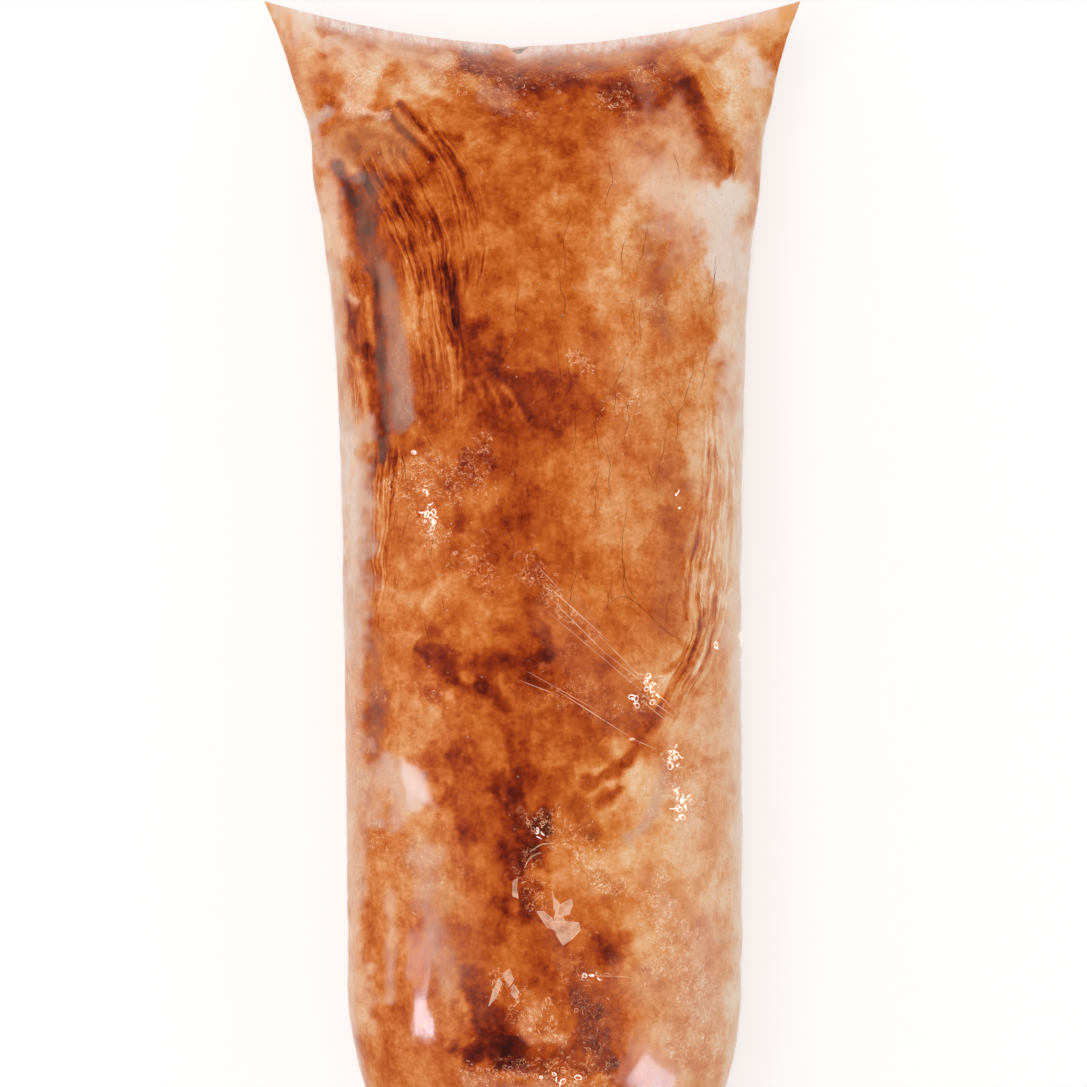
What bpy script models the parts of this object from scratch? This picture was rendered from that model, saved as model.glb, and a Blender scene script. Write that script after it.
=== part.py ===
"""Frozen chocolate banana in a clear plastic tube bag.

The bag is lay-flat film, heat sealed straight across at one end and tied in a knot at the other. It froze lying
on a shelf, so its underside is flat and its upper side is pillow shaped. It lies with +Y towards the seal and +Z
up, and the origin is under the middle of its bounding box.

The filled part is one skin of rings. A ring stands at a run, the distance in millimetres from the seal, and its
points go round by angle, from the right edge over the top to the left edge and back underneath.
"""

import math

import bmesh
import bpy
from mathutils import Euler, Matrix, Vector, noise

MM = 0.001

# Driving dimensions, in millimetres
FLAT_WIDTH = 60.0  # the empty tube, and so the seal from ear to ear
LENGTH = 166.0  # ear tips to the end of the tail
FILLED_WIDTH = 44.0
THICKNESS = 30.0
EDGE_HEIGHT = 13.5  # the widest level of the filled part, above the shelf
SEAL_HEIGHT = 11.0
NECK_HEIGHT = 12.0

# The sealed end
EAR_RISE = 5.0  # how far the ears stand past the middle of the seal
EAR_BOW = 1.7  # how the seal's curve grows from its middle to the ears
EAR_FADE = 20.0  # run over which the rings straighten out below the seal
EAR_TAPER = 19.5  # depth over which the ears narrow into the body
HEM = 1.4  # width of the welded strip
HEM_THICKNESS = 0.8
TOP_SWELL = 36.0  # run over which the upper side reaches its full height
UNDER_SWELL = 24.0
SWELL_POWER = 0.55
NOTCH = (-1.6, 0.9, 1.1)  # place across, half width and depth of the nick in the seal
DRIFT = 1.45  # how far the body bends to the right of the seal's middle
DRIFT_FADE = 37.0

# The tied end
SHOULDER_START = 104.0  # run where the sides begin to close
SHOULDER_LENGTH = 30.4
SHOULDER_SHARE = 0.966  # share of the shoulder that is round, before it flares into the neck
NECK_RADIUS = 2.4
NECK_FLARE = 1.3
NECK_LENGTH = 4.5
PLEATS = 11
PLEAT_DEPTH = 0.16
PLEAT_TWIST = 0.35  # radians for each millimetre of neck

# The knot and the loose tail
KNOT_RING = 2.9
KNOT_ROPE = 1.95
TAIL_HALF_WIDTH = 11.5
TAIL_THICKNESS = 0.9
TAIL_DROOP = 3.0
TAIL_RUFFLE = 1.5
TAIL_RUFFLES = 2.5

# Mesh
ROUND = 64  # points on a ring
BODY_STEP = 2.3
SEED_OFFSET = Vector((3.7, 1.9, 8.2))  # where the unevenness is read from the noise field

SHOULDER_END = SHOULDER_START + SHOULDER_LENGTH
SEAL_Y = LENGTH / 2 - EAR_RISE
KNOT_Y = SEAL_Y - SHOULDER_END - NECK_LENGTH
TAIL_START = KNOT_Y - 1.0
BODY_HALF = FILLED_WIDTH / 2
UNDERSIDE = 1.14  # the rings reach this share of the edge height below it, and are cut flat at the shelf


def ease(t):
    """0 to 1 with level ends."""
    t = min(1.0, max(0.0, t))
    return t * t * (3.0 - 2.0 * t)


def bump(distance, reach):
    """1 at the middle, fading to nothing a little past reach."""
    return math.exp(-((distance / reach) ** 2))


def closing(run, radius):
    """The radius of the filled part at a run: full, then round over the shoulder, then flared into the neck."""
    share = (run - SHOULDER_START) / SHOULDER_LENGTH
    if share <= 0.0:
        return radius
    if share <= SHOULDER_SHARE:
        return radius * math.sqrt(1.0 - share * share)
    rim = radius * math.sqrt(1.0 - SHOULDER_SHARE**2)
    past = run - SHOULDER_START - SHOULDER_SHARE * SHOULDER_LENGTH
    return NECK_RADIUS + (rim - NECK_RADIUS) * math.exp(-past / NECK_FLARE)


def half_width(run):
    depth = run + EAR_RISE * (1.0 - math.exp(-run / EAR_FADE))
    ears = (FLAT_WIDTH / 2 - BODY_HALF) * math.exp(-depth / EAR_TAPER)
    return closing(run, BODY_HALF + ears)


def swell(run, reach):
    """How full a ring is: flat in the hem, then rising steeply and levelling off."""
    share = min(1.0, max(0.0, (run - HEM) / reach))
    return (1.0 - (1.0 - share) ** 2) ** SWELL_POWER


def centre(run):
    """The middle of a ring, as x and z."""
    x = DRIFT * (1.0 - math.exp(-run / DRIFT_FADE))
    z = SEAL_HEIGHT + (EDGE_HEIGHT - SEAL_HEIGHT) * ease(run / TOP_SWELL)
    z += (NECK_HEIGHT - EDGE_HEIGHT) * ease((run - SHOULDER_START) / SHOULDER_LENGTH)
    return x, z


def roundness(run):
    """The power on the sine: 2 gives the sharp-edged lens of the seal, 1 an ellipse."""
    return 0.95 + 1.05 * math.exp(-run / 14.0)


def pleat(run, angle):
    """The gathers, which start halfway down the shoulder and wind round the neck."""
    start = SHOULDER_START + 0.45 * SHOULDER_LENGTH
    strength = PLEAT_DEPTH * ease((run - start) / (SHOULDER_END - start))
    twist = PLEAT_TWIST * max(0.0, run - SHOULDER_END)
    return 1.0 + strength * math.cos(PLEATS * (angle + twist) + 0.8 * math.sin(2.0 * angle))


def relief(x, run, across):
    """How far the upper skin stands out from the plain form, in millimetres. across is -1 to 1 over the width."""
    place = Vector((x, run, 0.0))
    height = 0.55 * noise.noise(place / 19.0 + SEED_OFFSET)
    height += 0.22 * noise.noise(place / 7.0 + SEED_OFFSET * 2.0)
    # Puckers in the film below the weld
    height += 0.35 * math.cos(2.0 * math.pi * x / 6.5 + 1.0) * math.exp(-run / 8.0) * ease(run / 4.0)
    # The crease that runs down from the notch
    height -= 1.1 * bump(x - NOTCH[0], 1.5) * math.exp(-run / 4.5)
    # The slack folds that turn each ear into the body, and the roll that stands beside them
    for side, depth in ((-1.0, 1.0), (1.0, 0.7)):
        fold = run - 13.0 - 9.0 * (1.0 - side * across)
        height -= depth * bump(fold, 2.6) * ease((side * across - 0.5) / 0.3)
        height += 0.5 * depth * bump(fold - 5.0, 3.0) * ease((side * across - 0.4) / 0.3)
    # The long hollow on the left where the film left the ice
    hollow = x + 17.6 - 0.07 * (run - 20.0)
    height -= 0.75 * bump(hollow, 2.3) * ease((run - 14.0) / 6.0) * ease((50.0 - run) / 12.0)
    # A shallow saddle in the middle
    height -= 0.5 * bump(run - 62.0, 16.0) * bump(x - 3.0, 9.0)
    return height


def skin_point(run, angle):
    """A point of the filled part's skin, in metres."""
    middle_x, middle_z = centre(run)
    across, level = math.cos(angle), math.sin(angle)
    width = half_width(run)
    full = abs(level) ** roundness(run)
    if level >= 0.0:
        height = closing(run, THICKNESS - middle_z) * swell(run, TOP_SWELL) * full
    else:
        height = -closing(run, middle_z * UNDERSIDE) * swell(run, UNDER_SWELL) * full
    gather = pleat(run, angle)
    x = middle_x + width * across * gather
    z = middle_z + height * gather
    hem = HEM_THICKNESS / 2 * min(1.0, abs(level) / 0.15) * math.exp(-run / 6.0)
    z += math.copysign(hem, level) if abs(level) > 1e-6 else 0.0
    # Unevenness fades towards the shelf, the weld's edge and the neck
    shown = ease((z - 4.0) / 6.0) * ease(run / 2.0) * ease((SHOULDER_END - run) / 10.0)
    lift = relief(x, run, across) * shown
    x += lift * across * 0.4
    z += lift * max(0.0, level)
    bow = EAR_RISE * math.exp(-run / EAR_FADE) * abs(across) ** EAR_BOW
    nick = NOTCH[2] * bump(x - NOTCH[0], NOTCH[1]) * math.exp(-run / 1.5)
    return Vector((x, SEAL_Y - run + bow - nick, max(0.0, z))) * MM


def ring_runs():
    """Where the rings stand: close together in the hem, the swell and the shoulder, and even along the body."""
    runs = [0.0, HEM]
    step = 0.7
    while runs[-1] + step < SHOULDER_START:
        runs.append(runs[-1] + step)
        step = min(BODY_STEP, step * 1.22)
    turns = 12
    for turn in range(turns):
        share = math.sin(math.radians(75.0) * turn / (turns - 1))
        runs.append(SHOULDER_START + SHOULDER_LENGTH * share)
    return runs + [SHOULDER_END + NECK_LENGTH * share for share in (-0.1, 0.1, 0.3, 0.55, 0.8, 1.0)]


def ring_angles():
    """Even angles, drawn a little towards the notch so that it is cut cleanly."""
    return [2.0 * math.pi * step / ROUND for step in range(ROUND)]


def build_filled_part():
    """The skin of rings, closed by a strip along the weld and by a cap inside the knot."""
    shape = bmesh.new()
    rings = [[shape.verts.new(skin_point(run, angle)) for angle in ring_angles()] for run in ring_runs()]
    for upper, lower in zip(rings, rings[1:]):
        for step in range(ROUND):
            after = (step + 1) % ROUND
            shape.faces.new((upper[step], lower[step], lower[after], upper[after]))
    weld = rings[0]
    for step in range(1, ROUND // 2 - 1):
        shape.faces.new((weld[step], weld[step + 1], weld[ROUND - step - 1], weld[ROUND - step]))
    half = ROUND // 2
    shape.faces.new((weld[0], weld[1], weld[ROUND - 1]))
    shape.faces.new((weld[half - 1], weld[half], weld[half + 1]))
    shape.faces.new(list(reversed(rings[-1])))
    bmesh.ops.recalc_face_normals(shape, faces=shape.faces)
    return shape


def add_mesh(name, shape):
    mesh = bpy.data.meshes.new(name)
    shape.to_mesh(mesh)
    shape.free()
    made = bpy.data.objects.new(name, mesh)
    bpy.context.scene.collection.objects.link(made)
    return made


def add_wrap(name, place, tilt, turn):
    """One turn of the knot: a ring of rope round the neck, tilted off its axis."""
    shape = bmesh.new()
    steps, sides = 22, 10
    frame = Matrix.Translation(place) @ Euler((tilt, 0.0, turn)).to_matrix().to_4x4()
    loops = []
    for step in range(steps):
        round_neck = 2.0 * math.pi * step / steps
        out = Vector((math.cos(round_neck), 0.0, math.sin(round_neck)))
        loop = []
        for side in range(sides):
            round_rope = 2.0 * math.pi * side / sides
            reach = KNOT_RING + KNOT_ROPE * math.cos(round_rope)
            loop.append(shape.verts.new(frame @ (out * reach + Vector((0.0, KNOT_ROPE * math.sin(round_rope), 0.0)))))
        loops.append(loop)
    for step in range(steps):
        ring, after = loops[step], loops[(step + 1) % steps]
        for side in range(sides):
            beside = (side + 1) % sides
            shape.faces.new((ring[side], after[side], after[beside], ring[beside]))
    bmesh.ops.recalc_face_normals(shape, faces=shape.faces)
    bmesh.ops.scale(shape, vec=(MM, MM, MM), verts=shape.verts)
    return add_mesh(name, shape)


def tail_point(share, across, face):
    """A point of the tail. share runs from the knot to the cut end, across is -1 to 1, face is 1 above and -1 below."""
    middle_x, middle_z = centre(SHOULDER_END)
    half = NECK_RADIUS + (TAIL_HALF_WIDTH - NECK_RADIUS) * share**0.8
    wave = math.sin(math.pi * TAIL_RUFFLES * across + 0.6 + 0.8 * share)
    z = middle_z - TAIL_DROOP * share**1.5 + TAIL_RUFFLE * share * wave
    z += face * (TAIL_THICKNESS / 2 + (NECK_RADIUS - TAIL_THICKNESS) * (1.0 - share) ** 6)
    cut = -0.5 * LENGTH + 1.2 * (across * across)
    return Vector((middle_x + half * across, TAIL_START + (cut - TAIL_START) * share, z)) * MM


def add_tail(name):
    """The loose end of the tube, fanned out past the knot: a thin wavy sheet."""
    shape = bmesh.new()
    wide, long = 22, 9
    grids = {}
    for face in (1, -1):
        grids[face] = [
            [shape.verts.new(tail_point(row / long, 2.0 * column / wide - 1.0, face)) for column in range(wide + 1)]
            for row in range(long + 1)
        ]
    for face, grid in grids.items():
        for row in range(long):
            for column in range(wide):
                corners = (grid[row][column], grid[row + 1][column], grid[row + 1][column + 1], grid[row][column + 1])
                shape.faces.new(corners if face > 0 else tuple(reversed(corners)))
    above, below = grids[1], grids[-1]
    rim = [(row, 0) for row in range(long)] + [(long, column) for column in range(wide)]
    rim += [(row, wide) for row in range(long, 0, -1)] + [(0, column) for column in range(wide, 0, -1)]
    for here, there in zip(rim, rim[1:] + rim[:1]):
        shape.faces.new(
            (above[here[0]][here[1]], above[there[0]][there[1]], below[there[0]][there[1]], below[here[0]][here[1]])
        )
    bmesh.ops.recalc_face_normals(shape, faces=shape.faces)
    return add_mesh(name, shape)


def join(target, pieces):
    """Makes target and pieces one closed solid."""
    group = bpy.data.collections.new("knot_and_tail")
    bpy.context.scene.collection.children.link(group)
    for piece in pieces:
        bpy.context.scene.collection.objects.unlink(piece)
        group.objects.link(piece)
    union = target.modifiers.new("union", "BOOLEAN")
    union.operation = "UNION"
    union.operand_type = "COLLECTION"
    union.collection = group
    union.solver = "EXACT"
    graph = bpy.context.evaluated_depsgraph_get()
    joined = bpy.data.meshes.new_from_object(target.evaluated_get(graph))
    target.modifiers.remove(union)
    target.data = joined
    for piece in pieces:
        bpy.data.objects.remove(piece)
    bpy.data.collections.remove(group)


def frozen_mix():
    """The look of the frozen chocolate and banana through its film."""
    material = bpy.data.materials.new("frozen_chocolate_banana")
    material.use_nodes = True
    surface = material.node_tree.nodes["Principled BSDF"]
    surface.inputs["Base Color"].default_value = (0.55, 0.17, 0.055, 1.0)
    surface.inputs["Roughness"].default_value = 0.25
    surface.inputs["Metallic"].default_value = 0.0
    return material


def build():
    for thing in list(bpy.data.objects):
        bpy.data.objects.remove(thing)
    bag = add_mesh("bag", build_filled_part())
    middle_x, middle_z = centre(SHOULDER_END)
    wraps = (
        add_wrap("first_wrap", Vector((middle_x, KNOT_Y + 1.4, middle_z)), math.radians(24.0), math.radians(12.0)),
        add_wrap("second_wrap", Vector((middle_x, KNOT_Y - 1.6, middle_z)), math.radians(-26.0), math.radians(-16.0)),
    )
    join(bag, (*wraps, add_tail("tail")))
    bag.data.materials.clear()
    bag.data.materials.append(frozen_mix())
    bag.data.shade_smooth()
    bag.data.set_sharp_from_angle(angle=math.radians(50.0))


build()
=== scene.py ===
"""A frozen chocolate banana in a clear tube bag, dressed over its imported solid.

Lengths are millimetres until a mesh is made. The skin repeats the part's own formulas: a ring stands at a
run, the distance from the heat seal, and its points go round by angle. Colours and marks are placed by u and
v: u runs to the right from the middle of the bag and v down from the tips of its ears, both at the bag's
widest level, as an eye straight above sees them.
"""

import math

import bpy
import numpy as np
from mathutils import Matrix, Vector, noise
from mathutils.bvhtree import BVHTree


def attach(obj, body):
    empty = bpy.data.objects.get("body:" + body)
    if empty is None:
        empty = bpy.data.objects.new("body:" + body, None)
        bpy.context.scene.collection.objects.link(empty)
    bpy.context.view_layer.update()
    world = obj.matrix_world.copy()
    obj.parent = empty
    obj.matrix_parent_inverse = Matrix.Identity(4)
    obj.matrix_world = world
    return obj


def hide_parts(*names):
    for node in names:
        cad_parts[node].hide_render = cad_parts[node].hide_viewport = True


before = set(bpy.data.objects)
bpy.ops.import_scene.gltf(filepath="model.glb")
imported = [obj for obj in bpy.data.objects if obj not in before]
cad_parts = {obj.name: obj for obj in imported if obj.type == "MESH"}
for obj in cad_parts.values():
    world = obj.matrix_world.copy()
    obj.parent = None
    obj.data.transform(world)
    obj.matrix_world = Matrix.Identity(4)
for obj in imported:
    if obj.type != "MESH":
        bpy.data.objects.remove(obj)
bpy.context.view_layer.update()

MM = 0.001

# The skin, as in the part
FLAT_WIDTH = 60.0
LENGTH = 166.0
FILLED_WIDTH = 44.0
THICKNESS = 30.0
EDGE_HEIGHT = 13.5
SEAL_HEIGHT = 11.0
NECK_HEIGHT = 12.0
EAR_RISE = 5.0
EAR_BOW = 1.7
EAR_FADE = 20.0
EAR_TAPER = 19.5
HEM = 1.4
HEM_THICKNESS = 0.8
TOP_SWELL = 36.0
UNDER_SWELL = 24.0
SWELL_POWER = 0.55
NOTCH = (-1.6, 0.9, 1.1)
DRIFT = 1.45
DRIFT_FADE = 37.0
SHOULDER_START = 104.0
SHOULDER_LENGTH = 30.4
SHOULDER_SHARE = 0.966
NECK_RADIUS = 2.4
NECK_FLARE = 1.3
NECK_LENGTH = 4.5
PLEATS = 11
PLEAT_DEPTH = 0.16
PLEAT_TWIST = 0.35
UNDERSIDE = 1.14
SEED_OFFSET = Vector((3.7, 1.9, 8.2))
SHOULDER_END = SHOULDER_START + SHOULDER_LENGTH
SEAL_Y = LENGTH / 2 - EAR_RISE

# The loose tail, and the closed loop of rope that makes the knot
KNOT_Y = SEAL_Y - SHOULDER_END - NECK_LENGTH
TAIL_START = KNOT_Y - 1.0
TAIL_HALF_WIDTH = 11.5
TAIL_DROOP = 3.0
TAIL_RUFFLE = 1.5
TAIL_RUFFLES = 2.5
TAIL_THICKNESS = 0.32
KNOT_STEPS = 120
KNOT_REACH = 2.35
KNOT_SWING = 0.95
KNOT_DEPTH = 1.9
KNOT_ROPE = 1.45

# Columns of the two skins, on the upper and the under side, and the run where the photo stops showing them
ICE_COLUMNS = (168, 28)
FILM_COLUMNS = (110, 22)
SHOWN_RUN = 118.0
ICE_END = SHOULDER_END - 0.4
GATHERED_RUN = SHOULDER_END - 1.6

# How far the ice lies inside the skin and the film outside it, and how uneven each of them is
ICE_DEPTH = 0.14
ICE_RELIEF = 0.10
FILM_GAP = 0.03
FILM_PUCKER = 0.03

# The eye above the bag, and the level at which u and v are measured
EYE = Vector((1.23, 22.4, 762.0))
EYE_LEVEL = 12.0

# The photo's width at that level, and the camera's film
PHOTO_WIDTH = 121.2
SENSOR_WIDTH = 36.0

# The studio: white, how brightly it shines from all round, the bluish light of its windows, and how far its
# table reaches to each side, in metres
WHITE = (1.0, 1.0, 1.0, 1.0)
AMBIENT = 0.62
DAYLIGHT = (0.66, 0.84, 1.0)
TABLE_REACH = 3.0


def ease(t):
    """0 to 1 with level ends."""
    t = np.clip(t, 0.0, 1.0)
    return t * t * (3.0 - 2.0 * t)


def bump(distance, reach):
    """1 at the middle, fading to nothing a little past reach."""
    return np.exp(-((distance / reach) ** 2))


def closing(run, radius):
    """The radius at a run: full, then round over the shoulder, then flared into the neck."""
    share = np.clip((run - SHOULDER_START) / SHOULDER_LENGTH, 0.0, SHOULDER_SHARE)
    shoulder = radius * np.sqrt(1.0 - share**2)
    rim = radius * math.sqrt(1.0 - SHOULDER_SHARE**2)
    past = np.maximum(0.0, run - SHOULDER_START - SHOULDER_SHARE * SHOULDER_LENGTH)
    neck = NECK_RADIUS + (rim - NECK_RADIUS) * np.exp(-past / NECK_FLARE)
    return np.where(past > 0.0, neck, shoulder)


def half_width(run):
    """Half the width of a ring, which widens towards the ears."""
    depth = run + EAR_RISE * (1.0 - np.exp(-run / EAR_FADE))
    ears = (FLAT_WIDTH - FILLED_WIDTH) / 2 * np.exp(-depth / EAR_TAPER)
    return closing(run, FILLED_WIDTH / 2 + ears)


def swell(run, reach):
    """How full a ring is, with the corner at the weld a little rounded."""
    past_hem = 0.5 * (run - HEM + np.sqrt((run - HEM) ** 2 + 0.4**2))
    share = np.clip(past_hem / reach, 0.0, 1.0)
    return (1.0 - (1.0 - share) ** 2) ** SWELL_POWER


def centre(run):
    """The middle of a ring, as x and z."""
    x = DRIFT * (1.0 - np.exp(-run / DRIFT_FADE))
    z = SEAL_HEIGHT + (EDGE_HEIGHT - SEAL_HEIGHT) * ease(run / TOP_SWELL)
    z = z + (NECK_HEIGHT - EDGE_HEIGHT) * ease((run - SHOULDER_START) / SHOULDER_LENGTH)
    return x, z


def pleat(run, angle):
    """How far gathers push a point of the shoulder in or out, as a factor."""
    start = SHOULDER_START + 0.45 * SHOULDER_LENGTH
    strength = PLEAT_DEPTH * ease((run - start) / (SHOULDER_END - start))
    twist = PLEAT_TWIST * np.maximum(0.0, run - SHOULDER_END)
    return 1.0 + strength * np.cos(PLEATS * (angle + twist) + 0.8 * np.sin(2.0 * angle))


def field_noise(x, run, reach, offset):
    """The same uneven field as in the part, at every point of two grids."""
    places = zip(x.ravel() / reach, run.ravel() / reach)
    values = [noise.noise(Vector((across, along, 0.0)) + offset) for across, along in places]
    return np.array(values).reshape(x.shape)


def relief(x, run, across):
    """How far the upper skin stands out from the plain form."""
    height = 0.55 * field_noise(x, run, 19.0, SEED_OFFSET)
    height += 0.22 * field_noise(x, run, 7.0, SEED_OFFSET * 2.0)
    height += 0.35 * np.cos(2.0 * np.pi * x / 6.5 + 1.0) * np.exp(-run / 8.0) * ease(run / 4.0)
    height -= 1.1 * bump(x - NOTCH[0], 1.5) * np.exp(-run / 4.5)
    for side, depth in ((-1.0, 1.0), (1.0, 0.7)):
        fold = run - 13.0 - 9.0 * (1.0 - side * across)
        height -= depth * bump(fold, 2.6) * ease((side * across - 0.5) / 0.3)
        height += 0.5 * depth * bump(fold - 5.0, 3.0) * ease((side * across - 0.4) / 0.3)
    hollow = x + 17.6 - 0.07 * (run - 20.0)
    height -= 0.75 * bump(hollow, 2.3) * ease((run - 14.0) / 6.0) * ease((50.0 - run) / 12.0)
    height -= 0.5 * bump(run - 62.0, 16.0) * bump(x - 3.0, 9.0)
    return height


def skin(run, angle):
    """The bag's skin at two grids of runs and angles, as a grid of points."""
    middle_x, middle_z = centre(run)
    across, level = np.cos(angle), np.sin(angle)
    full = np.abs(level) ** (0.95 + 1.05 * np.exp(-run / 14.0))
    over = closing(run, THICKNESS - middle_z) * swell(run, TOP_SWELL)
    under = closing(run, middle_z * UNDERSIDE) * swell(run, UNDER_SWELL)
    gather = pleat(run, angle)
    x = middle_x + half_width(run) * across * gather
    z = middle_z + np.where(level >= 0.0, over, -under) * full * gather
    hem = HEM_THICKNESS / 2 * np.minimum(1.0, np.abs(level) / 0.15) * np.exp(-run / 6.0)
    z = z + np.sign(level) * hem * (np.abs(level) > 1e-6)
    shown = ease((z - 4.0) / 6.0) * ease(run / 2.0) * ease((SHOULDER_END - run) / 10.0)
    lift = relief(x, run, across) * shown
    x = x + lift * across * 0.4
    z = z + lift * np.maximum(0.0, level)
    bow = EAR_RISE * np.exp(-run / EAR_FADE) * np.abs(across) ** EAR_BOW
    nick = NOTCH[2] * bump(x - NOTCH[0], NOTCH[1]) * np.exp(-run / 1.5)
    return np.stack((x, SEAL_Y - run + bow - nick, np.maximum(0.0, z)), axis=-1)


def outward(points):
    """Unit normals of a grid of rings."""
    round_ring = np.roll(points, -1, axis=1) - np.roll(points, 1, axis=1)
    down = np.gradient(points, axis=0)
    normal = np.cross(round_ring, down)
    return normal / np.maximum(1e-9, np.linalg.norm(normal, axis=-1, keepdims=True))


def smooth_random(x, y, reach, seed):
    """Smooth random values from -1 to 1 that change over reach."""
    table = np.random.default_rng(seed).uniform(-1.0, 1.0, (64, 64))
    x, y = x / reach, y / reach
    left, low = np.floor(x).astype(int), np.floor(y).astype(int)
    fx, fy = ease(x - left), ease(y - low)
    near = table[left % 64, low % 64] * (1 - fx) + table[(left + 1) % 64, low % 64] * fx
    far = table[left % 64, (low + 1) % 64] * (1 - fx) + table[(left + 1) % 64, (low + 1) % 64] * fx
    return near * (1 - fy) + far * fy


def cloudy(x, y, reach, seed, octaves=3):
    """Smooth random values with finer ones added."""
    total = 0.0
    for octave in range(octaves):
        total = total + smooth_random(x, y, reach / 2**octave, seed + octave) * 0.55**octave
    return total


def smooth_line(points, steps=8):
    """More points along a curve that passes through the given ones."""
    points = np.array(points, dtype=float)
    if len(points) < 3:
        share = np.linspace(0.0, 1.0, 3)[:, None]
        return points[0] * (1 - share) + points[-1] * share
    ends = np.vstack((2 * points[0] - points[1], points, 2 * points[-1] - points[-2]))
    made = []
    for a, b, c, d in zip(ends, ends[1:], ends[2:], ends[3:]):
        for step in range(steps):
            t = step / steps
            made.append(0.5 * (2 * b + (c - a) * t + (2 * a - 5 * b + 4 * c - d) * t**2
                               + (3 * b - a - 3 * c + d) * t**3))
    return np.array(made + [points[-1]])


def follow(line, u, v):
    """Distance from a line, signed to its right, and the share along it of the nearest place."""
    best = np.full(u.shape, 1e9)
    side = np.zeros(u.shape)
    share = np.zeros(u.shape)
    count = len(line) - 1
    for step, (start, end) in enumerate(zip(line, line[1:])):
        run = end - start
        length = max(1e-9, float(run @ run))
        t = np.clip(((u - start[0]) * run[0] + (v - start[1]) * run[1]) / length, 0.0, 1.0)
        du, dv = u - start[0] - t * run[0], v - start[1] - t * run[1]
        distance = np.hypot(du, dv)
        nearer = distance < best
        best = np.where(nearer, distance, best)
        side = np.where(nearer, np.sign(run[0] * dv - run[1] * du), side)
        share = np.where(nearer, (step + t) / count, share)
    return best, side, share


FIELDS = ("cocoa", "frost_and_sheen", "grey_haze_and_shade", "amber", "grain", "rust", "lace",
          "strand", "strand_run", "strand_amount")


class Painting:
    """Fields painted over the ice. cocoa is how dark the mix is. The white field is how much white lies in
    front of it, partly frosting and partly painted sheen of the film seen aslant, and the grey field how much
    grey, partly haze and partly painted shade where the film stands off the ice. amber is how yellow it is,
    grain how streaky, rust how speckled, lace how much of a fine pale net the film leaves on it, and strand,
    strand_run and strand_amount place the layered bands."""

    def __init__(self, u, v, weight):
        self.u, self.v = u, v
        self.drift = 0.5 * cloudy(u, v, 5.0, 11, 4), 0.7 * cloudy(u, v, 5.5, 23, 4)
        self.ragged = cloudy(u, v, 1.8, 37, 3)
        self.weight = weight
        self.fields = {name: np.zeros(u.shape) for name in FIELDS}

    def stroke(self, points, width, soft, amount, cocoa=None, frost_and_sheen=None, grey_haze_and_shade=None, amber=None, *,
               end_width=None, rough=0.5, loose=1.0, **others):
        """Moves the fields that are given towards their values along a line of points. soft is how wide the
        edge is, rough how ragged it is as a share of the width, and loose how much the whole stroke drifts."""
        line = smooth_line(points) if len(points) > 1 else np.array([points[0], points[0]], dtype=float)
        distance, _, share = follow(line, self.u + loose * self.drift[0], self.v + loose * self.drift[1])
        reach = width + ((width if end_width is None else end_width) - width) * share
        distance = distance + rough * np.minimum(reach, 2.0) * self.ragged
        mask = amount * self.weight * ease((reach + soft / 2 - distance) / soft)
        for name, value in dict(cocoa=cocoa, frost_and_sheen=frost_and_sheen, grey_haze_and_shade=grey_haze_and_shade, amber=amber, **others).items():
            if value is not None:
                self.fields[name] += (value - self.fields[name]) * mask

    def bundle(self, left, right, lines, amount=1.0, seed=0, fade=(0.1, 0.8)):
        """Lays fine layered bands between two lines that run down the bag."""
        left, right = smooth_line(left), smooth_line(right)
        u, v = self.u + 0.6 * self.drift[0], self.v + 0.6 * self.drift[1]
        near, near_side, share = follow(left, u, v)
        far, far_side, far_share = follow(right, u, v)
        past_left, past_right = -near_side * near, far_side * far
        across = past_left / np.maximum(0.4, past_left + past_right)
        share = 0.5 * (share + far_share)
        length = np.hypot(*np.diff(left, axis=0).T).sum()
        ends = ease(share / fade[0]) * ease((1.0 - share) / (1.0 - fade[1]))
        inside = ease((np.minimum(past_left, past_right) + 0.4) / 1.2)
        mask = amount * self.weight * inside * ends
        stronger = mask > self.fields["strand_amount"]
        bands = {"strand": lines * across + 50.0 * seed, "strand_run": share * length}
        for name, values in {**bands, "strand_amount": mask}.items():
            self.fields[name] = np.where(stronger, values, self.fields[name])


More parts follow.
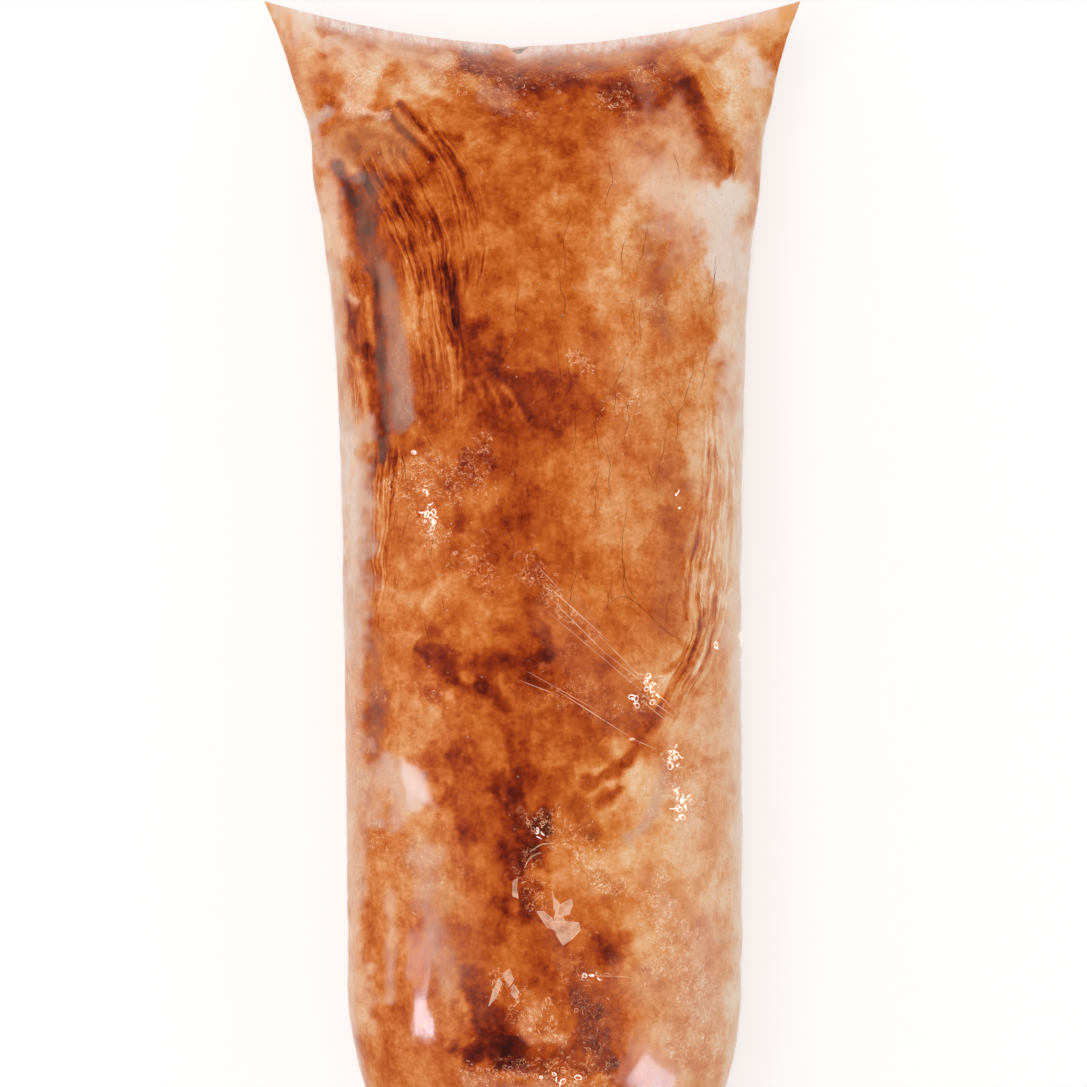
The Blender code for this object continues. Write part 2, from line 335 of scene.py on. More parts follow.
def paint_ice(u, v, weight, run, edge):
    """Everything that is painted on the ice. edge is 0 over most of the top and 1 at the sides."""
    art = Painting(u, v, weight)
    fields = art.fields
    fields["cocoa"] += 0.53 + 0.04 * cloudy(u + 31.0, v, 14.0, 3, 3)
    fields["grain"] += 0.6
    paint_ground(art)
    paint_bands(art)
    paint_seal_end(art)
    paint_hollow(art)
    paint_left_side(art)
    paint_stains(art)
    paint_right_side(art)
    paint_lower_end(art)
    paint_touches(art)
    paint_net(art)

    # White haze along the seal and down both sides: partly frosting, and partly painted sheen of the film seen
    # aslant, laid on where the surface turns away from straight above and at the steep wall by the seal
    shade = 0.8 + 0.35 * cloudy(u, v, 3.0, 71)
    seal_frost_and_sheen = bump(run - 0.2, 1.0) + 0.2 * bump(run, 2.6)
    streaky = 0.8 + 0.3 * cloudy(u, v * 0.4, 3.0, 77) + 0.4 * smooth_random(u * 6.0, v * 0.35, 3.0, 79)
    side = ease((edge - 0.55) / 0.4) * streaky * ease((run + 3.0) / 15.0)
    side = side * (1.0 - 0.6 * ease((edge - 1.0) / 0.2))
    clearer = 1.0 - 0.9 * np.clip(fields["amber"], 0.0, 1.0)
    haze_and_sheen = np.clip(0.85 * seal_frost_and_sheen * shade + 0.66 * side, 0.0, 0.86) * clearer
    fields["frost_and_sheen"] = fields["frost_and_sheen"] + (1.0 - fields["frost_and_sheen"]) * haze_and_sheen
    # The mix is also painted paler where the surface turns away from above, a painted sheen
    fields["cocoa"] -= 0.1 * ease((edge - 0.35) / 0.4)
    return fields


def paint_ground(art):
    """The broad paler and darker parts of the mix."""
    for row in (
        ([(-1.4, 21.2), (-0.8, 53.5), (1.4, 78), (-3.1, 100.4)], 4.9, 7.8, 0.85, 0.6),
        ([(-12.5, 49.1), (-13.4, 62.4), (-13.1, 78)], 3.8, 4.9, 0.9, 0.46),
        ([(-15, 71.4), (-14.8, 78), (-15.2, 95.9), (-15.2, 107), (-14.3, 121.5)], 3.3, 4.5, 0.9, 0.42),
        ([(-11.4, 95.9), (-9.2, 102.6), (-8.6, 111.5)], 3.3, 4, 0.8, 0.47, None, 0.12),
        ([(13.1, 26.8), (13.1, 36.8), (12, 46.8), (11.4, 55.8)], 5.6, 7.8, 0.9, 0.35),
        ([(10.9, 62.4), (12.5, 69.1), (14.2, 74.7)], 4.9, 6.7, 0.8, 0.45),
        ([(2.6, 72.5), (4.7, 78), (7.5, 80.8)], 2.7, 3.3, 0.88, 0.66),
        ([(18.7, 27.9), (19.6, 36.8), (19.8, 47.9), (20.7, 53.5)], 3.1, 4, 0.9, 0.31),
        ([(20.9, 49.1), (21.1, 58), (21.1, 69.1), (20.2, 84.7)], 2.9, 2.9, 0.9, 0.24, 0.12),
        ([(19.3, 82.5), (20, 95.9), (19.3, 107), (19.8, 122.7)], 4.5, 5.6, 0.9, 0.26, 0.13),
        ([(7.5, 94.8), (12, 97), (13.7, 100.4), (12.5, 103.7)], 4.5, 4.9, 0.9, 0.33, None, None, 0.12),
        ([(8.9, 86.4), (12, 88.1), (13.7, 92.5)], 3.3, 3.1, 0.9, 0.25, None, None, 0.1),
        ([(3.1, 89.2), (2.6, 94.8), (4, 98.1)], 1.8, 2.9, 0.8, 0.48),
        ([(3.1, 101.5), (5.3, 103.1)], 2.2, 3.3, 0.6, 0.5),
        ([(22, 81.4), (22, 92.5), (21.8, 101.5)], 1.6, 2.2, 0.8, 0.2, 0.16),
        ([(20, 104.8), (20.5, 111.5), (19.8, 117.1)], 1.3, 2.7, 0.8, 0.24, 0.14),
        ([(11.5, 85.9), (12.5, 91.4)], 1.8, 2.5, 0.8, 0.22),
        ([(11.5, 96.8), (13.1, 99.2)], 1.8, 2.5, 0.8, 0.27),
        ([(22.2, 66.9), (22, 80.3)], 1, 1.8, 0.8, 0.24, 0.2),
    ):
        art.stroke(*row)

    # The middle
    for row in (
        ([(-2, 52.4), (-1.2, 63.6)], 2.2, 3.3, 0.85, 0.65), ([(-2, 71.4), (1.4, 78)], 2, 2.9, 0.88, 0.69),
        ([(2.6, 19), (3.5, 21.7)], 1.1, 2.2, 0.7, 0.5),
        ([(11.3, 32.3), (12.9, 34.6)], 1.4, 2.2, 0.85, 0.27),
        ([(-5.9, 19), (-0.3, 16.7), (7.5, 17.8)], 4, 6.7, 0.6, 0.57),
        ([(7.5, 14.5), (12, 15.6)], 2.9, 5.6, 0.6, 0.6),
    ):
        art.stroke(*row)
    art.stroke([(-3.6, 33.5), (-0.3, 31.4), (5.9, 30.3)], 1.3, 2.7, 0.8, 0.46, rough=0.9)
    art.stroke([(0.8, 30.1), (3.1, 27.9), (2.6, 25.6)], 0.9, 2.2, 0.6, 0.44, rough=0.9)
    art.stroke([(7.1, 33.5), (10.3, 31.8)], 2, 2.7, 0.85, 0.27)
    art.stroke([(3.1, 17.8), (4.7, 16.7)], 0.56, 1.6, 0.8, 0.68)
    art.stroke([(2.8, 26.1), (3.2, 26.8)], 0.33, 0.56, 0.9, 0.76, loose=0.3)
    art.stroke([(7.5, 22.3), (8.4, 23.4)], 0.7, 1.6, 0.6, 0.66)
    art.stroke([(0.8, 33.9), (3.3, 35.5), (5.1, 34.8)], 1, 2, 0.7, 0.66, rust=0.9, rough=0.9)
    art.stroke([(-1.4, 33.5), (3.1, 39), (7.5, 43.5)], 2.2, 3.8, 0.6, 0.6, rust=0.9, rough=0.9)
    art.stroke([(7, 39), (10.3, 44.6), (9.8, 49.1)], 1.8, 3.3, 0.5, 0.55, grey_haze_and_shade=0.12, rust=0.5)
    for row in (
        ([(-2.5, 41.5), (1.4, 43.7), (4.4, 46.3)], 2.9, 4, 0.9, 0.7, None, 0.02),
        ([(1.7, 41.5), (4.2, 42.9)], 0.9, 1.8, 0.7, 0.76, None, 0.05),
        ([(-0.3, 45.2), (2, 47.4)], 1.1, 2, 0.7, 0.74, None, 0.02),
        ([(5.9, 45.2), (6.6, 47.9)], 1.1, 2.5, 0.75, 0.54),
        ([(-7, 46.8), (-3.1, 50.2), (-0.3, 55.8), (-1.4, 60.8)], 3.8, 5.6, 0.8, 0.64),
    ):
        art.stroke(*row)
    art.stroke([(-5.2, 50.4), (-4.5, 52)], 0.7, 0.7, 0.85, 0.82, loose=0.4)
    art.stroke([(-7.9, 50.7), (-8.1, 52.6)], 0.45, 0.56, 0.8, 0.78, loose=0.4)
    art.stroke([(-8.1, 56.6), (-8.3, 58.9)], 0.56, 0.8, 0.8, 0.76, loose=0.4)
    art.stroke([(2.5, 53.5), (7.5, 52.4), (10.9, 58)], 2.5, 4.5, 0.7, 0.46)
    art.stroke([(10.6, 55.2), (10.9, 60.2)], 0.9, 1.6, 0.8, 0.38, amber=0.08)
    art.stroke([(15.6, 52.4), (15.8, 62.4), (15.1, 69.7)], 2, 2.5, 0.85, 0.54, grey_haze_and_shade=0.16, grain=0.2)
    art.stroke([(3.1, 68.6), (6.4, 74.1), (9.8, 78.6)], 3.3, 1.3, 0.9, 0.6, grey_haze_and_shade=0.1, grain=0.2, rough=0.25,
               loose=0.4)
    art.stroke([(13.7, 25.1), (13.3, 32.9)], 1.6, 2.9, 0.85, 0.58, grey_haze_and_shade=0.22)
    art.stroke([(11.1, 27.3), (10.9, 32.3)], 1, 2.2, 0.6, 0.42)
    art.stroke([(14, 34), (15.1, 36.8)], 0.8, 1.3, 0.8, 0.5, frost_and_sheen=0.04, grey_haze_and_shade=0.25, loose=0.4)


def paint_bands(art):
    """Thick dark strands, the trunk that they join, the fan below it, and fine layered bands."""
    art.stroke([(-18.1, 18.7), (-15.2, 21.2), (-12.5, 25.1), (-10.3, 29.2)], 2.5, 3.3, 0.9, 0.76,
               end_width=1.8)
    for row in (
        ([(-12.1, 18.4), (-9.6, 22.3), (-8.5, 27.3)], 2, 2.9, 0.7, 0.68),
        ([(-15, 21.9), (-13.2, 25.2), (-11, 28.5)], 1.4, 2.5, 0.8, 0.75),
        ([(-13.9, 32.3), (-12.1, 36.8), (-11.4, 44.6)], 2, 2.9, 0.8, 0.53),
        ([(-14.8, 29.9), (-13.7, 31.8)], 0.7, 1.3, 0.6, 0.46),
    ):
        art.stroke(*row)
    art.stroke([(-11, 24.8), (-9.6, 29.2), (-8.9, 33.5), (-8.4, 36.2), (-7.4, 38.5), (-5.6, 40.4)], 1, 1.6,
               0.92, 0.79, end_width=1, rough=0.3, loose=0.3)
    art.stroke([(-10.3, 26.8), (-9.4, 30.7), (-8.6, 35.7)], 0.45, 1, 0.6, 0.86, rough=0.3, loose=0.3)
    art.stroke([(-7.4, 38.5), (-5, 40.8), (-1.4, 42.9), (2.6, 46.6)], 1, 2, 0.85, 0.78, end_width=2,
               loose=0.5)
    art.stroke([(-7.9, 39), (-6.5, 43.5), (-5.2, 47.4)], 1.3, 2, 0.8, 0.72, loose=0.5)
    art.stroke([(-10.3, 44.6), (-9.6, 47.9)], 2.5, 2.9, 0.8, 0.64)
    art.stroke([(-7, 26.8), (-4.7, 33.5), (-3.6, 39)], 1.8, 3.1, 0.8, 0.63)
    art.stroke([(-6.7, 41.7), (-4.7, 44.6), (-2.3, 47.7)], 1.8, 2.2, 0.85, 0.75, loose=0.4)
    art.bundle([(-20.8, 17.6), (-19, 21), (-16.8, 25.1), (-15, 30.1), (-13.9, 35.7), (-13.2, 42.4),
               (-12.8, 50.2)], [(-13.2, 17.6), (-11, 21.2), (-9.2, 25.1), (-8.3, 29.2), (-7.9, 33.5),
               (-7.4, 39), (-6.7, 50.2)], 8, 0.75, 1, (0.04, 0.75))
    art.bundle([(-15.7, 10.7), (-13.4, 14.5), (-11.4, 18.4), (-9.9, 22.3), (-8.8, 26.8), (-8.3, 31.2),
               (-8.1, 36.8)], [(-12.1, 10.7), (-9.4, 14.3), (-6.7, 18.4), (-5, 22.9), (-4.5, 27.3),
               (-5.2, 31.8), (-6.5, 36.8)], 5, 0.6, 2, (0.1, 0.75))
    art.bundle([(18.7, 42.4), (19.3, 47.9), (18.7, 55.8), (17.6, 61.3), (16.9, 65.8), (17.1, 71.4),
               (14.7, 76.9), (12, 81.4)], [(21.8, 42.4), (22.9, 51.3), (22.8, 58), (22.6, 63.6),
               (21.6, 69.1), (20.2, 74.1), (17.8, 78.6), (15.6, 83.1)], 8, 0.8, 4, (0.15, 0.8))
    art.bundle([(-18.6, 49.1), (-18.8, 55.8), (-18.8, 63.6), (-18.6, 73.6)], [(-15, 49.1), (-14.6, 54.6),
               (-15.9, 62.4), (-17.2, 73.6)], 6, 0.85, 6, (0.1, 0.7))
    art.bundle([(-23, 26.2), (-21.9, 33.5), (-20.6, 41.3), (-19.5, 50.2)], [(-20.1, 26.2), (-18.3, 33.5),
               (-17.4, 41.3), (-16.8, 50.2)], 4, 0.45, 7, (0.1, 0.85))
    # Pale spikes of the fan, and thin upright lines beside it
    for line in (
        [(-7.2, 40.8), (-6.1, 42.8), (-5, 45.7)], [(-5.4, 41.9), (-4.1, 44.2), (-3.4, 46.6)],
        [(-3.2, 43.3), (-2.1, 44.6), (-0.9, 46.8)], [(-8.1, 41.5), (-7.9, 44.4)],
        [(-6.1, 39.5), (-3.6, 40.6), (0.4, 41.3)], [(-9.6, 38.5), (-9.4, 42.4), (-9.9, 45.7)],
        [(-10.8, 37.9), (-10.6, 41.5)], [(-9, 39), (-8.6, 41.9)],
    ):
        art.stroke(line, 0.31, 0.45, 0.92, end_width=0.09, rough=0.3, loose=0.4, cocoa=0.46)


def paint_seal_end(art):
    """Under the seal, with both ears."""
    art.stroke([(-20.3, 7.4), (-12.5, 8.3), (-5.9, 8.9)], 2.9, 3.3, 0.9, 0.4)
    art.stroke([(-20.9, 5.1), (-14.8, 5.8), (-10.3, 6.2)], 1.1, 1.8, 0.85, 0.26, frost_and_sheen=0.2)
    for row in (
        ([(-26.4, 3.8), (-22.6, 4.9), (-19.2, 5.1)], 1.1, 2, 0.8, 0.26, 0.26),
        ([(-20.3, 6.9), (-19.2, 9.4), (-18.8, 10.9)], 1.3, 2, 0.85, 0.2, 0.1),
        ([(-15.2, 9.1), (-13, 8.7), (-10.8, 9.8)], 1.1, 1.8, 0.9, 0.26, 0.12),
        ([(-16.6, 8), (-15.4, 8.6), (-16.1, 9.1)], 0.56, 1, 0.8, 0.6),
        ([(-9.6, 8.7), (-7.2, 10.3)], 1.1, 1.8, 0.8, 0.6),
        ([(-12.5, 6.9), (-9.2, 7.6), (-7, 8.3)], 0.45, 0.9, 0.6, 0.56),
        ([(-10.5, 10.9), (-9, 11.5)], 0.56, 0.8, 0.85, 0.72),
        ([(-12, 12.9), (-9.2, 13.8), (-6.3, 12.5)], 1.2, 2, 0.8, 0.62),
        ([(-10.1, 14.7), (-7.9, 15.2)], 0.45, 0.7, 0.85, 0.8),
    ):
        art.stroke(*row, rough=0.9)
    art.stroke([(-4.3, 12.5), (-1.4, 10.7), (6.4, 10.3), (13.1, 11.2), (17.6, 11.2)], 2.1, 3.8, 0.95, 0.65)
    art.stroke([(-3.6, 8.5), (3.1, 8.7), (8.6, 9.1), (13.7, 9.8)], 1, 1.6, 0.9, 0.77, rough=0.6, loose=0.5)
    art.stroke([(-1.8, 10), (3.3, 10.8)], 0.8, 1.3, 0.85, 0.75, rough=0.9)
    art.stroke([(7.1, 13.6), (8.4, 15.8)], 1.1, 2, 0.8, 0.64, rough=0.9)
    art.stroke([(8, 9.8), (8.9, 10.7)], 0.7, 0.9, 0.85, 0.78)
    art.stroke([(7.5, 11.2), (12, 12.5)], 1.3, 2.7, 0.7, 0.72)
    art.stroke([(-7, 6.9), (-4.3, 7.4), (-2.1, 8.3)], 1, 1.3, 0.9, 0.8, grey_haze_and_shade=0.1, rough=0.9)
    art.stroke([(-0.9, 6.5), (5.3, 6.5), (12, 6)], 0.7, 1.3, 0.7, 0.55, frost_and_sheen=0.08, grey_haze_and_shade=0.25)
    art.stroke([(-5.4, 10), (-3.1, 11)], 0.9, 1.3, 0.75, 0.56, frost_and_sheen=0.12, grey_haze_and_shade=0.1, rough=0.9)
    art.stroke([(12, 8.3), (13.3, 10)], 0.9, 1.3, 0.8, 0.6, frost_and_sheen=0.06, grey_haze_and_shade=0.18, rough=0.9)
    art.stroke([(18.7, 14.5), (17.6, 12.3), (15.3, 10)], 2.9, 4.9, 0.85, 0.64, grey_haze_and_shade=0.05, loose=0.3)
    art.stroke([(13.8, 6.7), (15.8, 7.8), (17.6, 10.3), (19, 13.8), (20.2, 16.7), (21.1, 20.1)], 1.3, 2,
               0.97, 0.77, grey_haze_and_shade=0.04, end_width=0.7, rough=0.15, loose=0.2)
    art.stroke([(14, 6.9), (15.6, 7.6)], 0.7, 0.9, 0.8, 0.76, grey_haze_and_shade=0.1, rough=0.3, loose=0.3)
    art.stroke([(15.3, 14.5), (16.7, 16.1)], 1, 2, 0.75, 0.46)

    # The right ear, pale and yellow beyond a sharp dark arc
    art.stroke([(18, 5.8), (20, 9.4), (21.7, 13.2), (22.9, 16.9), (23.6, 20.1)], 1.3, 0.28, 0.98, 0.36,
               frost_and_sheen=0, grey_haze_and_shade=0, amber=0.15, end_width=0.9, rough=0.1, loose=0.15)
    art.stroke([(20, 4.9), (24, 7.8), (24.5, 12.3), (24.7, 16.7)], 2.7, 1.1, 0.96, 0.25, frost_and_sheen=0.08, grey_haze_and_shade=0,
               amber=0.1, loose=0.2)
    art.stroke([(18.9, 8), (20.5, 10.9), (22, 14.7)], 0.56, 0.9, 0.7, 0.43, amber=0.15, loose=0.3)
    art.stroke([(23.1, 5.1), (24.5, 6.5), (24.9, 8)], 0.9, 1.2, 0.9, 0.2, frost_and_sheen=0.72, rough=0.9)
    art.stroke([(18.5, 5.1), (19.3, 6.2), (21.1, 5.8)], 0.56, 0.7, 0.85, 0.52, frost_and_sheen=0.1, rough=0.9)
    art.stroke([(23.1, 10.9), (23.8, 12.9)], 0.56, 0.9, 0.8, 0.4)
    art.stroke([(21.8, 14), (22.7, 15.6)], 0.45, 0.8, 0.7, 0.44)
    art.stroke([(24.5, 15.6), (24, 21.2), (23.8, 25.9)], 1, 1.1, 0.85, 0.4, frost_and_sheen=0.32, loose=0.4)
    art.stroke([(22.2, 16.7), (22.4, 20.3)], 0.33, 0.33, 0.9, 0.8, loose=0.3)
    art.stroke([(25.4, 3.8), (28.7, 1.6)], 1.7, 1.3, 0.85, 0.3, frost_and_sheen=0.04, amber=0.3)
    art.stroke([(28, 1.3), (30, 0.2)], 0.7, 1.1, 0.95, 0.4, frost_and_sheen=0, amber=0.8, loose=0.2)

    # The left ear
    art.stroke([(-28.6, 2.7), (-27, 8), (-25, 13.9)], 1.7, 2, 0.9, 0.42, frost_and_sheen=0.12, grey_haze_and_shade=0.08)
    art.stroke([(-30.2, 0), (-27.3, 2.2)], 1, 1.3, 0.9, 0.36, frost_and_sheen=0, amber=0.55, loose=0.2)
    art.stroke([(-30.2, 0), (-29.5, 0.9)], 0.45, 0.7, 0.9, 0.4, frost_and_sheen=0, amber=0.95, loose=0.2)
    art.stroke([(-27.5, 2.2), (-26.9, 3.3)], 0.56, 1, 0.8, 0.52, frost_and_sheen=0)
    art.stroke([(-27.9, 5.6), (-26.8, 8.9)], 0.56, 1.1, 0.6, 0.5, grey_haze_and_shade=0.2)
    art.stroke([(-25.9, 2.5), (-23.9, 3.8), (-22.1, 5.8)], 1.3, 2.2, 0.8, 0.26, frost_and_sheen=0.5, rough=1.2,
               loose=0.4)
    art.stroke([(-26.1, 6.7), (-24.6, 7.4)], 0.9, 1.3, 0.7, 0.34, frost_and_sheen=0.2)
    art.stroke([(-25, 6.7), (-22.4, 8.5), (-20.3, 10.9)], 1.8, 2, 0.85, 0.29, frost_and_sheen=0.06, rough=0.9)
    art.stroke([(-20.3, 14.3), (-19.7, 16.7)], 0.9, 1.6, 0.7, 0.38, grey_haze_and_shade=0.15)
    art.stroke([(-18.6, 5.6), (-17.4, 6.7)], 1, 1.6, 0.85, 0.2, frost_and_sheen=0.14, rough=0.9)
    art.stroke([(-24.4, 9.1), (-21.2, 8.7)], 0.7, 1.1, 0.85, 0.58, rough=0.9)
    art.stroke([(-23.7, 11), (-21.2, 11.3)], 0.45, 0.9, 0.85, 0.58, rough=0.9)
    art.stroke([(-25.5, 14.3), (-24.4, 12.9), (-23, 11.8)], 0.9, 1, 0.9, 0.42, frost_and_sheen=0.42, grey_haze_and_shade=0.4)
    art.stroke([(-20.3, 11.4), (-18.6, 12), (-17.2, 12.7)], 0.7, 0.9, 0.8, 0.26, frost_and_sheen=0.3, rough=0.9)

    # The round lump beside the left fold
    art.stroke([(-20.9, 16.3), (-17.9, 15.4), (-15.4, 15.4)], 2.7, 2, 0.9, 0.45, grey_haze_and_shade=0.26, amber=0.1,
               loose=0.4)
    art.stroke([(-23, 16.7), (-21.5, 17.8)], 1, 1.3, 0.85, 0.32, frost_and_sheen=0.12)
    art.stroke([(-23, 17.6), (-21.2, 19.2), (-19.5, 19.6)], 0.7, 1, 0.85, 0.32, frost_and_sheen=0.08, loose=0.4)
    art.stroke([(-24.1, 14.5), (-23.9, 17.8)], 0.45, 0.7, 0.8, 0.4, frost_and_sheen=0.4, loose=0.3)
    # Two darker lines across the lump's upper part, painted shade of its rounding
    art.stroke([(-22.4, 13.6), (-19.7, 12.7), (-15.7, 13.4)], 0.56, 1, 0.8, 0.58, rough=0.9)
    art.stroke([(-20.1, 15.4), (-17.9, 14.9), (-15, 16.5)], 1, 1.6, 0.85, 0.66, rough=0.9)
    art.stroke([(-23.2, 15.8), (-21.9, 18.5), (-19.7, 19.2)], 0.8, 1.3, 0.8, 0.3, frost_and_sheen=0.14, loose=0.4)
    for row in (
        ([(-14.8, 11.2), (-13.7, 12.5), (-12.1, 14.6)], 0.45, 0.56, 0.95, 0.84),
        ([(-16.3, 12), (-15.2, 13.6), (-14.6, 14.3)], 0.33, 0.56, 0.9, 0.8),
        ([(-14.6, 14.3), (-13.2, 15.8), (-11.4, 17.6)], 0.45, 0.56, 0.95, 0.9),
        ([(-10.5, 15.4), (-9.2, 17.4), (-7.9, 19.2)], 0.56, 1, 0.85, 0.74),
        ([(-15, 16.7), (-13.9, 17.8), (-12.1, 20.7)], 0.39, 0.7, 0.8, 0.78),
    ):
        art.stroke(*row, rough=0.4, loose=0.4)

    # The creamy patch and its streak
    art.stroke([(12, 17.8), (16.4, 20.1)], 3.1, 6.7, 0.8, 0.36, frost_and_sheen=0.16, loose=0.4)
    art.stroke([(14.7, 20.7), (18.2, 22.5)], 2.2, 5.4, 0.92, 0.19, frost_and_sheen=0.44, loose=0.4)
    art.stroke([(17.1, 21.9), (20.5, 24.3), (24.5, 27.9)], 1.4, 3.6, 0.92, 0.15, frost_and_sheen=0.6, loose=0.3)
    art.stroke([(18.7, 23.4), (21.6, 25.4), (24.5, 27.7)], 0.45, 1.6, 0.7, 0.12, frost_and_sheen=0.82, loose=0.3)
    art.stroke([(15.8, 25.9), (18.7, 27.9)], 1.7, 2.7, 0.8, 0.3, frost_and_sheen=0.14)


def paint_hollow(art):
    """The long hollow on the left, where a frosty haze clouds the film and grey that is partly painted shade
    lies in it, and the slivers beside it.
    """
    art.stroke([(-22.8, 20.1), (-21.9, 27.9)], 1.2, 1.6, 0.9, 0.34, frost_and_sheen=0.36, loose=0.4)
    art.stroke([(-21.5, 26.2), (-21.7, 21.2)], 0.28, 0.56, 0.7, 0.56, frost_and_sheen=0.1, loose=0.6)
    art.stroke([(-21.9, 18.5), (-20.8, 20.5), (-19.9, 22.5)], 0.7, 1, 0.9, 0.86, grey_haze_and_shade=0.1, loose=0.3)
    art.stroke([(-18.3, 20.5), (-18.8, 23.6), (-19, 26.3), (-18.1, 29.2)], 1.4, 1.6, 0.95, 0.86, grey_haze_and_shade=0.32,
               grain=0.15, rough=0.3, loose=0.3)
    art.stroke([(-20.3, 21.9), (-19, 23.4)], 0.8, 1.3, 0.7, 0.92, grey_haze_and_shade=0.2, loose=0.3)
    art.stroke([(-18.1, 28.4), (-17.2, 31.8), (-16.8, 36.8), (-16.8, 43.5), (-17, 51.1)], 0.9, 1, 0.95,
               0.86, grey_haze_and_shade=0.3, grain=0.15, end_width=0.56, rough=0.3, loose=0.3)
    art.stroke([(-20.1, 27.9), (-19.6, 29.2)], 0.7, 0.9, 0.85, 0.7, grey_haze_and_shade=0.1, loose=0.4)
    art.stroke([(-17.6, 31.4), (-17.3, 36.8)], 0.45, 0.8, 0.9, 0.88, grey_haze_and_shade=0.1, loose=0.3)
    art.stroke([(-16.6, 29.9), (-15.9, 33.5), (-15.2, 39), (-15, 47.1)], 0.7, 1.1, 0.9, 0.64, frost_and_sheen=0.06,
               grey_haze_and_shade=0.6, grain=0.15, end_width=1.2, rough=0.25, loose=0.3)
    art.stroke([(-14.8, 36.8), (-14.3, 45.7)], 0.56, 1, 0.75, 0.5, frost_and_sheen=0.16, grey_haze_and_shade=0.5, end_width=0.8,
               loose=0.3)
    art.stroke([(-20.8, 29.2), (-19.7, 30.3), (-18.3, 32.6)], 0.45, 0.8, 0.8, 0.64, frost_and_sheen=0, grey_haze_and_shade=0,
               loose=0.4)
    art.stroke([(-22.6, 29.2), (-21.7, 32.3), (-21.5, 37.9), (-20.8, 47.9)], 0.8, 1.3, 0.9, 0.38,
               frost_and_sheen=0.26, grey_haze_and_shade=0.3, loose=0.5)
    art.stroke([(-20.8, 29.9), (-19.5, 31.8), (-18.6, 34.6)], 0.45, 0.7, 0.85, 0.6, frost_and_sheen=0, loose=0.5)
    art.stroke([(-20.3, 33.7), (-19.9, 36.8), (-19.2, 39.7)], 1, 1.2, 0.9, 0.68, frost_and_sheen=0, grey_haze_and_shade=0.08,
               loose=0.4)
    # A small pale spot, a painted highlight on the folded film
    art.stroke([(-20.7, 33), (-19.9, 33.7)], 0.33, 0.56, 0.8, 0.3, frost_and_sheen=0.3, loose=0.3)
    art.stroke([(-18.6, 33.5), (-18, 38.5)], 0.28, 0.45, 0.8, 0.45, frost_and_sheen=0, loose=0.4)
    art.stroke([(-18.6, 38.8), (-17.9, 43.5), (-17.3, 48.2)], 0.56, 0.56, 0.95, 0.82, frost_and_sheen=0, grey_haze_and_shade=0,
               loose=0.3)
    # A thin tan line, a painted highlight along the fold
    art.stroke([(-19.5, 39.9), (-19, 44.6), (-18.6, 49.1)], 0.27, 0.45, 0.85, 0.42, frost_and_sheen=0.06, loose=0.4)
    art.stroke([(-20.3, 40.4), (-19.7, 47.3)], 0.56, 0.8, 0.85, 0.64, frost_and_sheen=0.03, loose=0.5)


def paint_left_side(art):
    """The milky margin on the left, and the streaks and pale patches beside it."""
    art.stroke([(-21, 47.9), (-20.3, 58), (-20.1, 71.4)], 1.9, 2.5, 0.9, 0.4, frost_and_sheen=0.42, grey_haze_and_shade=0.5,
               loose=0.4)
    art.stroke([(-20.6, 49.1), (-20.3, 58), (-20.2, 64.7)], 0.7, 1.1, 0.8, 0.26, frost_and_sheen=0.66, grey_haze_and_shade=0.32,
               loose=0.3)
    for row in (
        ([(-18.1, 50.7), (-18.3, 60.2), (-18.1, 71.4)], 0.45, 1, 0.75, 0.58, None, 0.25),
        ([(-17.7, 71.4), (-17.4, 76.9), (-17.7, 82.7)], 1, 1.8, 0.9, 0.64, None, 0.34),
        ([(-17.7, 82), (-17.9, 86.4)], 0.8, 1.6, 0.8, 0.6, None, 0.3),
        ([(-20.1, 71.4), (-20, 84.7), (-19.9, 100.4)], 1, 1.8, 0.75, 0.38, 0.34, 0.15),
    ):
        art.stroke(*row, loose=0.5)
    art.stroke([(-16.1, 86.1), (-14.6, 87.5), (-14.3, 89.9)], 1.9, 2.5, 0.85, 0.42, frost_and_sheen=0.36, grey_haze_and_shade=0.15,
               grain=0.6, rough=0.8, loose=0.7)
    art.stroke([(-14.6, 85.6), (-13.2, 88.1), (-13.4, 89.9)], 1, 1.1, 0.75, frost_and_sheen=0.56, rough=0.4,
               loose=0.4)
    art.stroke([(-16.1, 99.2), (-15.9, 104.8), (-16, 111.5)], 0.45, 1, 0.6, 0.36, frost_and_sheen=0.42, loose=0.4)
    for row in (
        ([(-18.8, 85.9), (-17.9, 90.5)], 1, 1.8, 0.8, 0.42, 0.25, 0.25),
        ([(-13.4, 69.1), (-10.3, 65.8), (-7.2, 63.8)], 0.33, 0.9, 0.6, 0.36),
        ([(-17, 65.2), (-14.8, 66.3), (-11.4, 69.4)], 0.33, 0.9, 0.6, 0.36),
        ([(-9.2, 64.1), (-7, 66.9), (-6.1, 69.1)], 0.33, 0.9, 0.5, 0.38),
    ):
        art.stroke(*row)
    art.stroke([(-13.3, 63), (-12, 65.8)], 0.8, 1.3, 0.7, 0.6, rough=0.9)
    for row in (
        ([(-12, 45.2), (-10.3, 49.1)], 2, 2, 0.8, 0.6), ([(-13.4, 49.1), (-12.8, 50.4)], 0.7, 1, 0.6, 0.68),
        ([(-12.1, 95.9), (-11, 102.6), (-9.6, 109.8)], 1.3, 2.9, 0.85, 0.44, 0.2, 0.28),
        ([(-9.9, 100.4), (-8.5, 107)], 1.1, 2.2, 0.7, 0.52, None, 0.2),
        ([(-16.6, 116), (-16.1, 121.5)], 1, 1.8, 0.8, 0.6),
        ([(-11.4, 100.9), (-10.5, 104.8)], 0.45, 0.9, 0.7, 0.62),
    ):
        art.stroke(*row)


